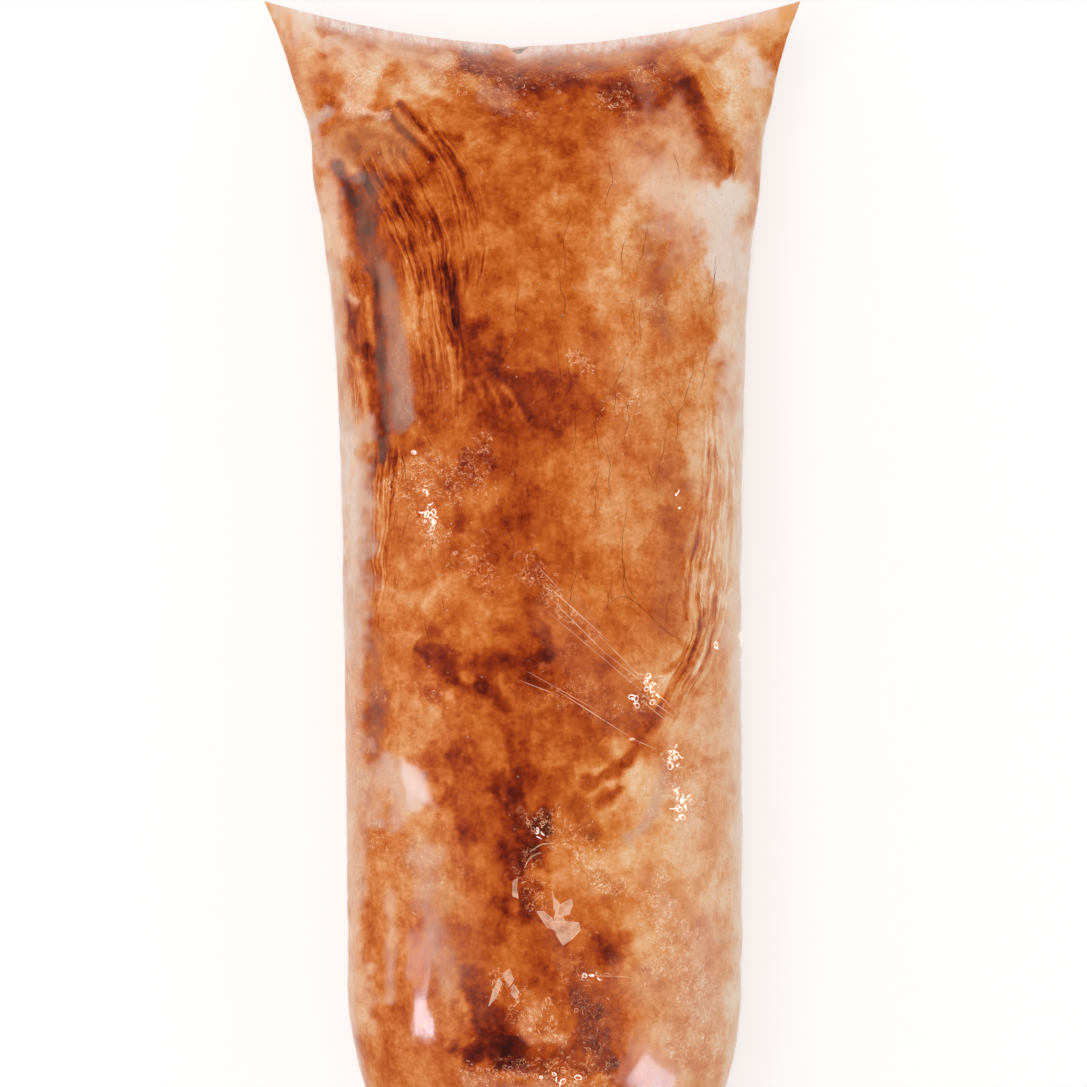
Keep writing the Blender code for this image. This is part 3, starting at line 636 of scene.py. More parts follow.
def paint_stains(art):
    """The dark stains of the lower half."""
    for row in (
        ([(-11.2, 73), (-9.6, 74.5), (-7.9, 78), (-7, 80.8)], 1.3, 0.9, 0.95, 0.71),
        ([(-10.8, 77.8), (-9.4, 80.5)], 1, 1.1, 0.9, 0.7),
        ([(-6.5, 74.5), (-4.5, 76.9), (-3, 79.4)], 1.3, 1.1, 0.92, 0.72),
        ([(-9.9, 73.8), (-8.5, 76.3)], 0.56, 1, 0.85, 0.82),
        ([(-7.9, 76.5), (-6.5, 78.7)], 0.45, 0.8, 0.8, 0.84),
        ([(-5.9, 76.9), (-4.5, 78.3)], 0.56, 0.9, 0.8, 0.8),
        ([(-12.8, 68.2), (-11.2, 71.1)], 1, 1.6, 0.75, 0.58),
        ([(-9, 70.9), (-6.3, 71.8), (-2.7, 71.4)], 0.7, 1.3, 0.8, 0.42, None, None, 0.05),
        ([(-7.5, 67.6), (-3.6, 68.2)], 1.3, 1.8, 0.75, 0.58),
    ):
        art.stroke(*row, rough=0.9)
    art.stroke([(-2.3, 66.9), (-0.3, 70.8), (1.3, 74.1)], 1.7, 1.3, 0.95, 0.7, rough=0.6, loose=0.6)
    art.stroke([(-0.7, 67.8), (0.6, 70), (1.7, 73)], 0.7, 1, 0.95, 0.87, rough=0.6, loose=0.5)
    for row in (
        ([(-4.7, 73), (-2, 75.8), (0.8, 77.2)], 1.3, 1.3, 0.85, 0.68),
        ([(-0.5, 74.9), (1.3, 76.3)], 0.45, 0.7, 0.9, 0.86),
        ([(-3.1, 77.2), (-0.3, 78.7), (2.6, 78.3)], 0.56, 1, 0.8, 0.44, None, None, 0.1),
        ([(-3.8, 79.4), (0.8, 80.7), (5.9, 82.5)], 1.2, 1.6, 0.88, 0.7),
        ([(-3.1, 80.1), (-1.4, 82.7), (-0.3, 86.4)], 1.1, 1.6, 0.9, 0.76),
        ([(-4.1, 78.7), (-3, 79.8)], 0.45, 0.7, 0.85, 0.88),
    ):
        art.stroke(*row, rough=0.9)
    art.stroke([(-7.9, 85.9), (-7.4, 90.3), (-6.3, 94.8)], 1.4, 0.45, 0.97, 0.71, rough=0.3, loose=0.5)
    art.stroke([(-7.9, 85.6), (-4.7, 87.4), (-2.7, 90.9), (-2.3, 94.8)], 2.7, 1.6, 0.95, 0.72, rough=0.9)
    art.stroke([(-1.6, 88.1), (-0.7, 92.5), (-1.6, 98.1)], 2, 2, 0.92, 0.71, rough=0.9)
    art.stroke([(-7, 83.8), (-4.7, 83.4)], 0.7, 1.1, 0.8, 0.48, rough=0.9)
    art.stroke([(-5.4, 89.2), (-4.5, 92.5), (-5, 95)], 0.56, 1.6, 0.6, 0.58)
    art.stroke([(-2.3, 85), (-1.2, 87)], 0.7, 1, 0.9, 0.84, rough=0.9)
    art.stroke([(-3, 89.9), (-1.4, 92.5)], 0.8, 1.2, 0.92, 0.86, rough=0.9)
    art.stroke([(-2.1, 95.4), (-1.4, 98.1), (-0.9, 100.9)], 0.8, 0.9, 0.95, 0.8, rough=0.6, loose=0.5)
    art.stroke([(-2, 96.8), (-1.4, 99)], 0.45, 0.7, 0.9, 0.9, loose=0.5)
    art.stroke([(0.8, 85), (2.2, 86.7)], 1.1, 1.6, 0.7, 0.66, rough=0.9)
    art.stroke([(-3.6, 96.4), (-2.7, 100.4), (-0.3, 105.4)], 2, 2.9, 0.85, 0.62, rough=0.9)
    art.stroke([(-6.1, 95.4), (-4.5, 98.6)], 0.7, 1.3, 0.7, 0.42, rough=0.9)
    art.stroke([(1.4, 83.1), (6.4, 80.5), (7.5, 79.8)], 0.33, 0.9, 0.6, 0.44)
    art.stroke([(0.8, 85.2), (6.4, 85.2)], 0.33, 0.9, 0.7, 0.46)
    art.stroke([(-2.3, 90.3), (-0.3, 92.8)], 1.3, 1.8, 0.9, 0.77, rough=0.9)
    art.stroke([(-2.5, 96.6), (-0.7, 99.5)], 1.3, 1.8, 0.9, 0.74, rough=0.9)
    art.stroke([(-6.5, 38.1), (-5.4, 39.9)], 1, 1.8, 0.9, 0.72)
    art.stroke([(5.7, 90.5), (6.2, 93.7)], 1, 1.6, 0.9, 0.66, rough=0.7)
    art.stroke([(6.2, 83.8), (8.2, 84.7)], 1.3, 2, 0.85, 0.62, rough=0.7)
    art.stroke([(1.5, 81.2), (7.5, 81.4)], 1.2, 1.8, 0.88, 0.67, rough=0.6)
    art.stroke([(-8.1, 105.9), (-7, 108.7)], 0.8, 1.6, 0.6, 0.56)


def paint_right_side(art):
    """The curving brown line with pale borders that ends in a hook, and the grey wrinkled patch."""
    art.stroke([(23.1, 22.3), (23.5, 36.8), (23.4, 53.5)], 1.8, 2.2, 0.88, 0.22, frost_and_sheen=0.4, loose=0.4)
    art.stroke([(22.1, 22.9), (22.2, 33.5)], 1.4, 2, 0.9, 0.15, frost_and_sheen=0.5, loose=0.3)
    art.stroke([(23.1, 53.5), (23.1, 84.7), (23.1, 121.2)], 1, 2, 0.85, 0.2, frost_and_sheen=0.34, loose=0.4)
    art.stroke([(19.1, 55.8), (17.9, 61.1), (17.6, 65.8), (17.8, 69.4), (16.9, 72.7), (14.7, 76.9),
               (13.7, 79.7)], 0.7, 0.8, 0.8, 0.32, rough=0.25, loose=0.25)
    art.stroke([(20.1, 49.6), (19.2, 54.6), (18.6, 59.6), (17.6, 64.1), (17.2, 69.2)], 0.06, 0.33, 0.9,
               0.64, end_width=0.34, rough=0.3, loose=0.2)
    art.stroke([(19.1, 68.2), (18.3, 71.9), (16.7, 74.9), (14.7, 78.5), (13.7, 80.7)], 0.38, 0.39, 0.95,
               0.68, end_width=0.61, rough=0.3, loose=0.2)
    art.stroke([(17.6, 72.3), (16.4, 73.8), (15.1, 74.9)], 0.33, 0.45, 0.9, 0.62, rough=0.3, loose=0.2)
    art.stroke([(20.5, 66.9), (20, 71.4), (18.9, 74.9)], 0.25, 0.33, 0.9, 0.6, rough=0.3, loose=0.2)
    art.stroke([(17.6, 75.8), (16.7, 77.4), (15.3, 79.4)], 0.33, 0.45, 0.85, 0.58, rough=0.3, loose=0.2)
    art.stroke([(17.8, 59.1), (18.7, 55.8)], 0.17, 0.33, 0.8, 0.6, loose=0.2)
    art.stroke([(13.1, 80.9), (11.3, 84.1), (9.1, 86.1), (6.4, 87.4)], 0.61, 0.9, 0.95, 0.7, amber=0,
               end_width=0.8, rough=0.6, loose=0.25)
    art.stroke([(12.7, 79.8), (13.3, 81.4)], 0.7, 0.7, 0.9, 0.66, amber=0, rough=0.4, loose=0.2)
    art.stroke([(9.8, 87.8), (8.8, 88.8), (7.5, 89.6)], 0.7, 1, 0.92, 0.68, amber=0, rough=0.7, loose=0.25)
    art.stroke([(15.6, 82), (16, 87), (16.9, 90.9)], 0.7, 1, 0.8, 0.38, frost_and_sheen=0.26)
    art.stroke([(14.7, 85.6), (14.4, 88.1), (14, 89.9)], 0.56, 1, 0.75, 0.34, frost_and_sheen=0.3, grey_haze_and_shade=0.28,
               loose=0.4)
    art.stroke([(14.4, 90.1), (12.5, 92.1), (10.6, 93.4)], 0.7, 1.1, 0.75, 0.36, frost_and_sheen=0.24, grey_haze_and_shade=0.34,
               rough=0.9, loose=0.4)
    art.stroke([(17.6, 82.5), (18.1, 85.9)], 0.7, 1.6, 0.6, 0.36, frost_and_sheen=0.2)
    art.stroke([(7.3, 98.8), (8.9, 99.5)], 1.3, 1.3, 0.85, 0.52, grey_haze_and_shade=0.06, amber=0, rough=0.4)
    art.stroke([(12, 98.8), (14.4, 99.5), (14.7, 101)], 0.9, 1.3, 0.7, 0.36, frost_and_sheen=0.22, rough=0.9)
    art.stroke([(17.6, 62.4), (20.3, 52.4), (20, 49.1)], 0.17, 0.33, 0.6, 0.56, loose=0.3)


def paint_lower_end(art):
    """Near the photo's lower edge."""
    art.stroke([(13.1, 109.3), (16.4, 111.5), (14.2, 119.3)], 3.3, 4.5, 0.8, 0.44, frost_and_sheen=0.12, grey_haze_and_shade=0.06)
    art.stroke([(-6.1, 109.8), (-3.6, 112.6)], 2.5, 2.9, 0.85, 0.7, rough=0.9)
    art.stroke([(1.4, 109.3), (3.5, 111.9)], 1.3, 2.2, 0.85, 0.66, rough=0.9)
    art.stroke([(16, 112.6), (17.1, 117.1)], 0.9, 1.8, 0.6, 0.52)
    art.stroke([(8.2, 104.1), (8.3, 107.3)], 1.9, 3.1, 0.9, 0.66, amber=0, rough=0.9, loose=0.4)
    art.stroke([(8.2, 105), (8.4, 106.1)], 0.8, 2.7, 0.9, 0.84, amber=0, rough=0.9, loose=0.3)
    art.stroke([(2.2, 103.1), (2.6, 107)], 1, 1.8, 0.75, 0.6, grey_haze_and_shade=0.12, rough=0.9)
    art.stroke([(0.6, 109.8), (2.2, 112.6)], 1.3, 2.2, 0.85, 0.6, rough=0.9)
    art.stroke([(6.2, 109.7), (6.5, 114.8), (7.1, 118)], 1.9, 1, 0.93, 0.77, grey_haze_and_shade=0.11, grain=1, rough=0.25,
               loose=0.2)
    art.stroke([(8.4, 109.7), (9.1, 116)], 1.1, 1.6, 0.85, 0.68, grey_haze_and_shade=0.12, grain=1, rough=0.4, loose=0.3)
    art.stroke([(6, 113.7), (7.1, 117.7)], 1.3, 2, 0.8, 0.79, grey_haze_and_shade=0.09, loose=0.4)
    art.stroke([(-4.7, 116.6), (-2.5, 117.1), (1.4, 117.5)], 2.5, 3.1, 0.92, 0.74, rough=0.9, loose=0.4)
    art.stroke([(-4.5, 116.7), (-2.3, 117.1)], 1.8, 2.9, 0.97, 1, rough=0.6, loose=0.3)
    art.stroke([(-6.1, 111.5), (-5.6, 117.1)], 1.3, 2.2, 0.85, 0.7, rough=0.9)
    art.stroke([(7.3, 116), (8.4, 118.6)], 1.1, 1.6, 0.9, 0.8, grey_haze_and_shade=0.08, rough=0.7)
    art.stroke([(3.6, 117.5), (5.9, 118.9)], 1, 1.6, 0.85, 0.78, grey_haze_and_shade=0.06)
    for row in (
        ([(-4.7, 112.2), (-2.3, 112.8), (-0.9, 113.7)], 1.1, 2, 0.8, 0.64),
        ([(-6.3, 121.5), (3.1, 121.1)], 0.9, 1.6, 0.7, 0.46, 0.12),
        ([(0.4, 111.5), (-0.3, 115.5), (2.6, 116)], 0.7, 1.3, 0.7, 0.38, 0.1),
        ([(-3.1, 107.6), (-3.8, 111.5)], 0.56, 1.1, 0.6, 0.52),
        ([(-0.5, 108.2), (0.8, 108.7)], 0.9, 1.6, 0.6, 0.56),
    ):
        art.stroke(*row, rough=0.9)


def paint_touches(art):
    """Small places all over that are lighter or darker than what lies round them."""
    for places, width, soft, amount, cocoa, frost_and_sheen in (
        ([(2.2, 9.3), (4.2, 10.3)], 1.2, 2, 0.7, 0.8, 0),
        ([(16.4, 6), (16.5, 7.2)], 1.6, 2, 0.45, 0.3, 0.05),
        ([(-20.4, 8.4), (-19.8, 11.4)], 1.4, 2, 0.6, 0.26, 0.25),
        ([(2.6, 19), (3.6, 21.3)], 2, 2.9, 0.8, 0.42, 0),
        ([(16.4, 13.4), (16.4, 28)], 2.2, 3.3, 0.5, 0.28, 0.25),
        ([(-10.6, 25.8), (-9.8, 28.2)], 1.4, 2, 0.7, 0.6, 0),
        ([(-6.3, 25.8), (-5.4, 28.1)], 1.8, 2.5, 0.7, 0.62, 0),
        ([(22, 22.9), (22.1, 30.2)], 1.8, 2, 0.9, 0.1, 0.75),
        ([(11.6, 32.2), (12.8, 34.4)], 1.6, 2.2, 0.7, 0.24, 0),
        ([(16, 32), (16.9, 35.5)], 2, 2.5, 0.6, 0.5, 0),
        ([(-6.5, 39), (-5.2, 41.5)], 2, 2.5, 0.75, 0.82, 0),
        ([(-6.5, 45.7), (-5.2, 48)], 1.8, 2.5, 0.7, 0.62, 0),
        ([(-10.3, 53), (-1.4, 53.9)], 2, 2.9, 0.55, 0.7, 0),
        ([(-1.4, 60), (-1.2, 79)], 2, 3.3, 0.5, 0.7, 0), ([(3, 76.5), (3.2, 80)], 2.2, 2.9, 0.5, 0.62, 0),
        ([(-6, 81), (-4.5, 85)], 2.2, 3.3, 0.6, 0.52, 0), ([(16, 83.5), (16.8, 86)], 2, 2.9, 0.6, 0.52, 0),
        ([(-2, 90), (-0.8, 93)], 2, 2.7, 0.8, 0.88, 0),
        ([(-1.9, 96.6), (-0.9, 100.2)], 2, 2.7, 0.8, 0.85, 0),
        ([(11.6, 97), (12.3, 99.5)], 2, 2.5, 0.5, 0.28, 0.05),
        ([(-20.2, 103.5), (-19.7, 113)], 1.4, 2, 0.6, 0.34, 0.3),
        ([(19.8, 103), (19.6, 113)], 1.6, 2.2, 0.6, 0.34, 0.3),
        ([(-6.4, 110.8), (-5.2, 112.6)], 2, 2.5, 0.75, 0.82, 0),
        ([(-5.9, 117.2), (-4.4, 117.1)], 1.6, 2, 0.85, 0.92, 0),
        ([(22.3, 37.5), (22.2, 47.5)], 1.2, 1.6, 0.6, 0.2, 0.5),
        ([(22.2, 68), (22.1, 79)], 1, 1.6, 0.6, 0.2, 0.5),
    ):
        art.stroke(places, width, soft, amount, rough=0.8, cocoa=cocoa, frost_and_sheen=frost_and_sheen)


def paint_net(art):
    """Where the film touches the ice in a fine net."""
    for line, width, amount in (
        ([(-13.1, 52.6), (-8.6, 52), (-5.9, 53.5)], 2.7, 0.85), ([(-12.3, 56.3), (-11, 59.1)], 1, 1),
        ([(-8.5, 62.4), (-4.7, 64.1)], 1.3, 0.6), ([(-0.8, 63.3), (2.6, 65.8)], 1.2, 0.8),
        ([(4.2, 39.6), (5.5, 40.4)], 0.9, 0.7), ([(8.2, 44.4), (9.8, 45.9)], 0.9, 0.5),
        ([(11.1, 44), (11.8, 45)], 0.8, 0.6), ([(6.4, 8), (8.9, 12)], 1.4, 0.6),
        ([(8.9, 12), (10.3, 9.5)], 1.2, 0.5), ([(12.2, 7.4), (14.2, 8.9)], 1.2, 0.6),
        ([(12, 76.7), (13.8, 76.9)], 1.4, 1), ([(15.6, 82.7), (15.8, 86.4)], 0.8, 1),
        ([(15.6, 88.1), (17.6, 90.5)], 1.4, 1), ([(17.8, 88.1), (18.7, 85.9)], 0.9, 0.6),
        ([(12, 92.5), (13.7, 91.2)], 0.7, 0.5), ([(-0.3, 92), (2.2, 91.7)], 1, 1),
        ([(3.1, 93.7), (6.4, 96.1)], 1.3, 0.9), ([(6.6, 96.6), (8, 98.1)], 1.1, 0.6),
        ([(-0.5, 95.9), (0.2, 100.4)], 1, 0.6), ([(-4.7, 108.2), (-2, 110.4)], 1.1, 0.7),
        ([(-0.3, 112.6), (1.7, 116)], 1.6, 0.9), ([(-5.9, 120), (7.5, 119.8)], 1.6, 0.9),
        ([(5.3, 108.7), (7.5, 119.3)], 2.5, 0.5), ([(10.3, 99.2), (14.7, 100.4)], 1.6, 0.7),
        ([(16.4, 105.9), (18.7, 116)], 2.9, 0.7), ([(-20.3, 8.4), (-20.6, 10.7)], 0.8, 0.7),
        ([(-20.9, 10.9), (-17.2, 12.3)], 0.9, 0.8), ([(-20.1, 7.8), (-17.2, 8)], 0.4, 0.6),
        ([(23.1, 6.7), (22, 10)], 1.6, 0.5), ([(23.4, 12.3), (24.3, 16.7)], 1.6, 0.5),
        ([(-9.2, 7.8), (-5.9, 8.7), (-2.5, 10.9)], 1.6, 0.6), ([(-0.8, 7.4), (12, 7.4)], 1, 0.5),
        ([(-12, 76.9), (-10.3, 79.4)], 1, 0.5), ([(-20.1, 71.4), (-19.7, 98.1)], 1.6, 0.5),
        ([(-17, 74.1), (-17.2, 76.9)], 0.8, 0.5), ([(-14.8, 95.9), (-9.2, 98.1)], 1.6, 0.5),
        ([(-17.9, 92.5), (-17.4, 94.8)], 0.8, 0.5), ([(10.9, 33.5), (13.7, 33.2)], 0.8, 0.5),
        ([(13.1, 34.8), (14.4, 35.5)], 0.8, 0.4), ([(3.6, 75.8), (8.1, 78.6)], 2, 0.5),
        ([(3.1, 68.2), (7.5, 73)], 0.8, 0.7), ([(-17, 10), (-10.3, 6.7)], 1.8, 0.35),
        ([(22.6, 33.5), (22.9, 100.4)], 1.3, 0.3), ([(-14.8, 37.9), (-14.6, 46.3)], 0.9, 0.5),
        ([(0.8, 100.4), (5.3, 103.7)], 1.1, 0.4),
    ):
        art.stroke(line, width, 0.9 * width, amount, rough=1.2, lace=1.0)


def seen(points):
    """Where the eye sees points, as u and v."""
    scale = (EYE.z - EYE_LEVEL) / (EYE.z - points[..., 2])
    u = EYE.x + (points[..., 0] - EYE.x) * scale
    return u, LENGTH / 2 - EYE.y - (points[..., 1] - EYE.y) * scale


def add_object(name, verts, faces, material, smooth=True):
    """A mesh object from points in millimetres, riding with the bag."""
    mesh = bpy.data.meshes.new(name)
    mesh.from_pydata((np.asarray(verts) * MM).tolist(), [], faces)
    mesh.materials.append(material)
    mesh.validate()
    if smooth:
        mesh.shade_smooth()
        mesh.set_sharp_from_angle(angle=math.radians(50.0))
    made = bpy.data.objects.new(name, mesh)
    bpy.context.scene.collection.objects.link(made)
    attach(made, "root")
    return made


def ring_faces(rings, around, above, below):
    """Faces of a skin of rings. above and below are the numbers of columns on its two sides, and each
    column below meets a whole number of columns above."""
    faces = []
    for ring in range(rings - 1):
        start, after = ring * around, (ring + 1) * around
        for step in range(around):
            beside = (step + 1) % around
            faces.append((start + step, start + beside, after + beside, after + step))
    ratio = above // below
    for step in range(below):
        upper = list(range(step * ratio, (step + 1) * ratio + 1))
        lower = [(around - step - 1) % around, (around - step) % around]
        faces.append(tuple(dict.fromkeys(reversed(upper + lower))))
    faces.append(tuple((rings - 1) * around + step for step in range(around)))
    return faces


def columns(above, below):
    """Angles round a ring: evenly spread across the top, and fewer of them underneath."""
    spread = np.linspace(0.0, np.pi, above + 1)
    even = np.arccos(np.linspace(1.0, -1.0, above + 1))
    upper = 0.45 * spread + 0.55 * even
    lower = 2.0 * np.pi - upper[:: above // below][1:-1][::-1]
    return np.concatenate((upper, lower))


def runs(first, visible_step, hidden_step, last):
    """Runs of the rings: close together where the photo shows the bag, and wider apart past it."""
    shown = np.arange(first, SHOWN_RUN, visible_step)
    rest = np.linspace(SHOWN_RUN, last, int((last - SHOWN_RUN) / hidden_step) + 1)
    return np.concatenate((shown, rest))


class Graph:
    """A material's nodes, added one after another."""

    def __init__(self, name):
        self.material = bpy.data.materials.new(name)
        self.material.use_nodes = True
        self.tree = self.material.node_tree
        self.tree.nodes.clear()

    def add(self, kind, inputs=None, output=0, **settings):
        node = self.tree.nodes.new(kind)
        for name, value in settings.items():
            setattr(node, name, value)
        for name, value in (inputs or {}).items():
            if isinstance(value, bpy.types.NodeSocket):
                self.tree.links.new(value, node.inputs[name])
            else:
                node.inputs[name].default_value = value
        return node.outputs[output]

    def math(self, operation, a, b=0.0, clamp=False):
        return self.add("ShaderNodeMath", {0: a, 1: b}, operation=operation, use_clamp=clamp)

    def colour(self, share, a, b):
        node = self.tree.nodes.new("ShaderNodeMix")
        node.data_type = "RGBA"
        for index, value in ((0, share), (6, a), (7, b)):
            if isinstance(value, bpy.types.NodeSocket):
                self.tree.links.new(value, node.inputs[index])
            else:
                node.inputs[index].default_value = value
        return node.outputs[2]

    def attribute(self, name):
        return self.add("ShaderNodeAttribute", output=2, attribute_name=name)

    def noise(self, place, scale, detail, rough=0.55, distortion=0.0):
        values = {"Vector": place, "Scale": scale, "Detail": detail, "Roughness": rough}
        return self.add("ShaderNodeTexNoise", {**values, "Distortion": distortion})

    def smooth(self, value, low, high, start=0.0, end=1.0):
        """Goes smoothly from start to end as value goes from low to high."""
        limits = {"Value": value, "From Min": low, "From Max": high, "To Min": start, "To Max": end}
        return self.add("ShaderNodeMapRange", limits, interpolation_type="SMOOTHSTEP")

    def finish(self, shader):
        output = self.tree.nodes.new("ShaderNodeOutputMaterial")
        self.tree.links.new(shader, output.inputs["Surface"])
        return self.material


def srgb(red, green, blue):
    """A display colour from 0 to 255 as a linear one."""
    shown = (red / 255, green / 255, blue / 255)
    linear = [c / 12.92 if c <= 0.04045 else ((c + 0.055) / 1.055) ** 2.4 for c in shown]
    return (*linear, 1.0)


# Tints. The grey one is partly painted shade where the film stands off the ice, the white one partly painted
# sheen of the film seen aslant, and the bead and glint ones painted highlights
AMBER_TINT = (243, 168, 72)
GREY_HAZE_AND_SHADE_TINT = (177, 135, 113)
FROST_AND_SHEEN_TINT = (248, 229, 219)
RUST_TINT = (120, 36, 8)
PIT_TINT = (110, 38, 12)
BEAD_HIGHLIGHT_TINT = (255, 238, 218)
NET_TINT = (253, 218, 184)
PAINTED_GLINT_TINT = (255, 234, 208)
FILM_TINT = (0.99, 0.985, 0.98, 1.0)

# From the palest to the darkest mix
COCOA_RAMP = (
    (0.00, (253, 228, 202)),
    (0.14, (246, 202, 160)),
    (0.26, (239, 174, 120)),
    (0.36, (230, 149, 86)),
    (0.46, (218, 123, 54)),
    (0.54, (206, 103, 34)),
    (0.62, (190, 83, 20)),
    (0.70, (167, 62, 10)),
    (0.80, (131, 37, 4)),
    (0.90, (90, 18, 2)),
    (1.00, (50, 6, 1)),
)


def ice_material():
    """Marbled ice: soft mottling, fine fibres, layered bands, white haze that is partly painted sheen and grey
    haze that is partly painted shade, specks, dew beads with painted highlights, and the net under the film
    with sparse painted glints.
    """
    g = Graph("frozen_mix")
    place = g.add("ShaderNodeTexCoord", output=3)
    millimetres = g.add("ShaderNodeMapping", {"Vector": place, "Scale": (1000.0, 1000.0, 1000.0)})
    drawn = g.add("ShaderNodeMapping", {"Vector": place, "Scale": (1000.0, 200.0, 700.0)})
    cocoa, grain = g.attribute("cocoa"), g.attribute("grain")

    mottle = g.noise(millimetres, 0.17, 7.0, 0.62)
    fine = g.noise(millimetres, 2.0, 4.0, 0.75)
    fibre = g.noise(drawn, 1.5, 4.0, 0.65)
    shade = g.math("MULTIPLY", g.math("SUBTRACT", mottle, 0.5), 0.78)
    shade = g.math("ADD", shade, g.math("MULTIPLY", g.math("SUBTRACT", fine, 0.5), 0.36))
    islands = g.noise(millimetres, 0.38, 5.0, 0.68)
    shade = g.math("ADD", shade, g.smooth(islands, 0.44, 0.62, -0.04, 0.06))
    streaks = g.math("MULTIPLY", g.math("SUBTRACT", fibre, 0.5), g.math("MULTIPLY", grain, 0.26))
    shade = g.math("ADD", shade, streaks)

    # Layered bands, broad dark ones and thin pale lines, drawn out along each bundle
    drawn_run = g.math("MULTIPLY", g.attribute("strand_run"), 0.09)
    bundle = g.add("ShaderNodeCombineXYZ", {0: g.attribute("strand"), 1: drawn_run})
    broad = g.smooth(g.noise(bundle, 1.3, 1.5, 0.5, 0.2), 0.40, 0.60, -0.13, 0.17)
    thin = g.math("ABSOLUTE", g.math("SUBTRACT", g.noise(bundle, 1.5, 1.0, 0.4, 0.2), 0.5))
    pale = g.smooth(thin, 0.004, 0.04, -0.2, 0.0)
    patchy = g.math("MULTIPLY", g.attribute("strand_amount"), g.smooth(mottle, 0.38, 0.55, 0.55, 1.0))
    shade = g.math("ADD", shade, g.math("MULTIPLY", g.math("ADD", broad, pale), patchy))

    # Fine pale contour lines where the film touches, dense in places and scattered elsewhere, with sparse
    # white glints in the dense places that are painted highlights
    wander = g.noise(millimetres, 0.9, 3.0, 0.65)
    line = g.math("ABSOLUTE", g.math("SUBTRACT", wander, 0.5))
    curl = g.noise(millimetres, 1.9, 1.0, 0.5, 0.4)
    loop = g.math("ABSOLUTE", g.math("SUBTRACT", curl, 0.55))
    thin_line, thin_loop = g.smooth(line, 0.004, 0.016, 1.0, 0.0), g.smooth(loop, 0.006, 0.026, 1.0, 0.0)
    drawn_lines = g.math("MAXIMUM", thin_line, thin_loop)
    broken = g.noise(millimetres, 1.1, 3.0, 0.7)
    lace = g.attribute("lace")
    scattered = g.smooth(broken, 0.60, 0.68, 0.0, 0.4)
    dense = g.math("MULTIPLY", g.smooth(broken, 0.40, 0.56), g.smooth(lace, 0.1, 0.8))
    net = g.math("MULTIPLY", drawn_lines, g.math("MAXIMUM", scattered, dense))
    sparse = g.smooth(g.noise(millimetres, 2.6, 2.0, 0.6), 0.64, 0.70)
    painted_glint = g.math("MULTIPLY", sparse, g.smooth(lace, 0.3, 0.9, 0.0, 0.7))
    shade = g.math("SUBTRACT", shade, g.math("MULTIPLY", g.math("MAXIMUM", net, painted_glint), 0.34))

    total = g.math("ADD", cocoa, shade, clamp=True)
    ramp = g.tree.nodes.new("ShaderNodeValToRGB")
    steps = ramp.color_ramp.elements
    while len(steps) < len(COCOA_RAMP):
        steps.new(0.5)
    for step, (at, tint) in zip(steps, COCOA_RAMP):
        step.position = at
        step.color = srgb(*tint)
    g.tree.links.new(total, ramp.inputs["Fac"])
    yellow = g.math("MULTIPLY", g.attribute("amber"), 0.9)
    tone = g.colour(yellow, ramp.outputs["Color"], srgb(*AMBER_TINT))

    # The white is partly frosting and partly painted sheen; the grey is partly haze and partly painted shade
    # where the film stands off the ice
    haze_and_sheen = g.math("MULTIPLY", g.smooth(fine, 0.3, 0.7, 0.8, 1.15), g.smooth(fibre, 0.3, 0.7, 0.75, 1.25))
    grey_haze_and_shade = g.math("MULTIPLY", g.attribute("grey_haze_and_shade"), haze_and_sheen, clamp=True)
    frost_and_sheen = g.math("MULTIPLY", g.attribute("frost_and_sheen"), haze_and_sheen, clamp=True)
    tone = g.colour(grey_haze_and_shade, tone, srgb(*GREY_HAZE_AND_SHADE_TINT))
    tone = g.colour(frost_and_sheen, tone, srgb(*FROST_AND_SHEEN_TINT))

    # Rust specks, dark pits, and dew beads whose pale middle is a painted highlight
    cells = g.add("ShaderNodeTexVoronoi", {"Vector": millimetres, "Scale": 0.9, "Randomness": 1.0})
    rusty = g.math("ADD", g.attribute("rust"), 0.3)
    speck = g.math("MULTIPLY", g.smooth(cells, 0.08, 0.17, 0.5, 0.0), rusty, clamp=True)
    tone = g.colour(speck, tone, srgb(*RUST_TINT))
    dew = g.add("ShaderNodeTexVoronoi", {"Vector": millimetres, "Scale": 0.7, "Randomness": 1.0})
    tone = g.colour(g.smooth(dew, 0.05, 0.09, 0.4, 0.0), tone, srgb(*PIT_TINT))
    bead_highlight = g.math("MULTIPLY", g.smooth(dew, 0.03, 0.055, 1.0, 0.0), g.smooth(fine, 0.40, 0.55))
    tone = g.colour(bead_highlight, tone, srgb(*BEAD_HIGHLIGHT_TINT))

    tone = g.colour(g.math("MULTIPLY", net, 0.22), tone, srgb(*NET_TINT))
    tone = g.colour(g.math("MULTIPLY", painted_glint, 0.5), tone, srgb(*PAINTED_GLINT_TINT))

    relief_normal = g.add("ShaderNodeBump", {"Height": fine, "Strength": 0.3, "Distance": 0.0003})
    surface = g.add("ShaderNodeBsdfPrincipled", {
        "Base Color": tone, "Roughness": 0.45, "Specular IOR Level": 0.02, "Normal": relief_normal})
    return g.finish(surface)


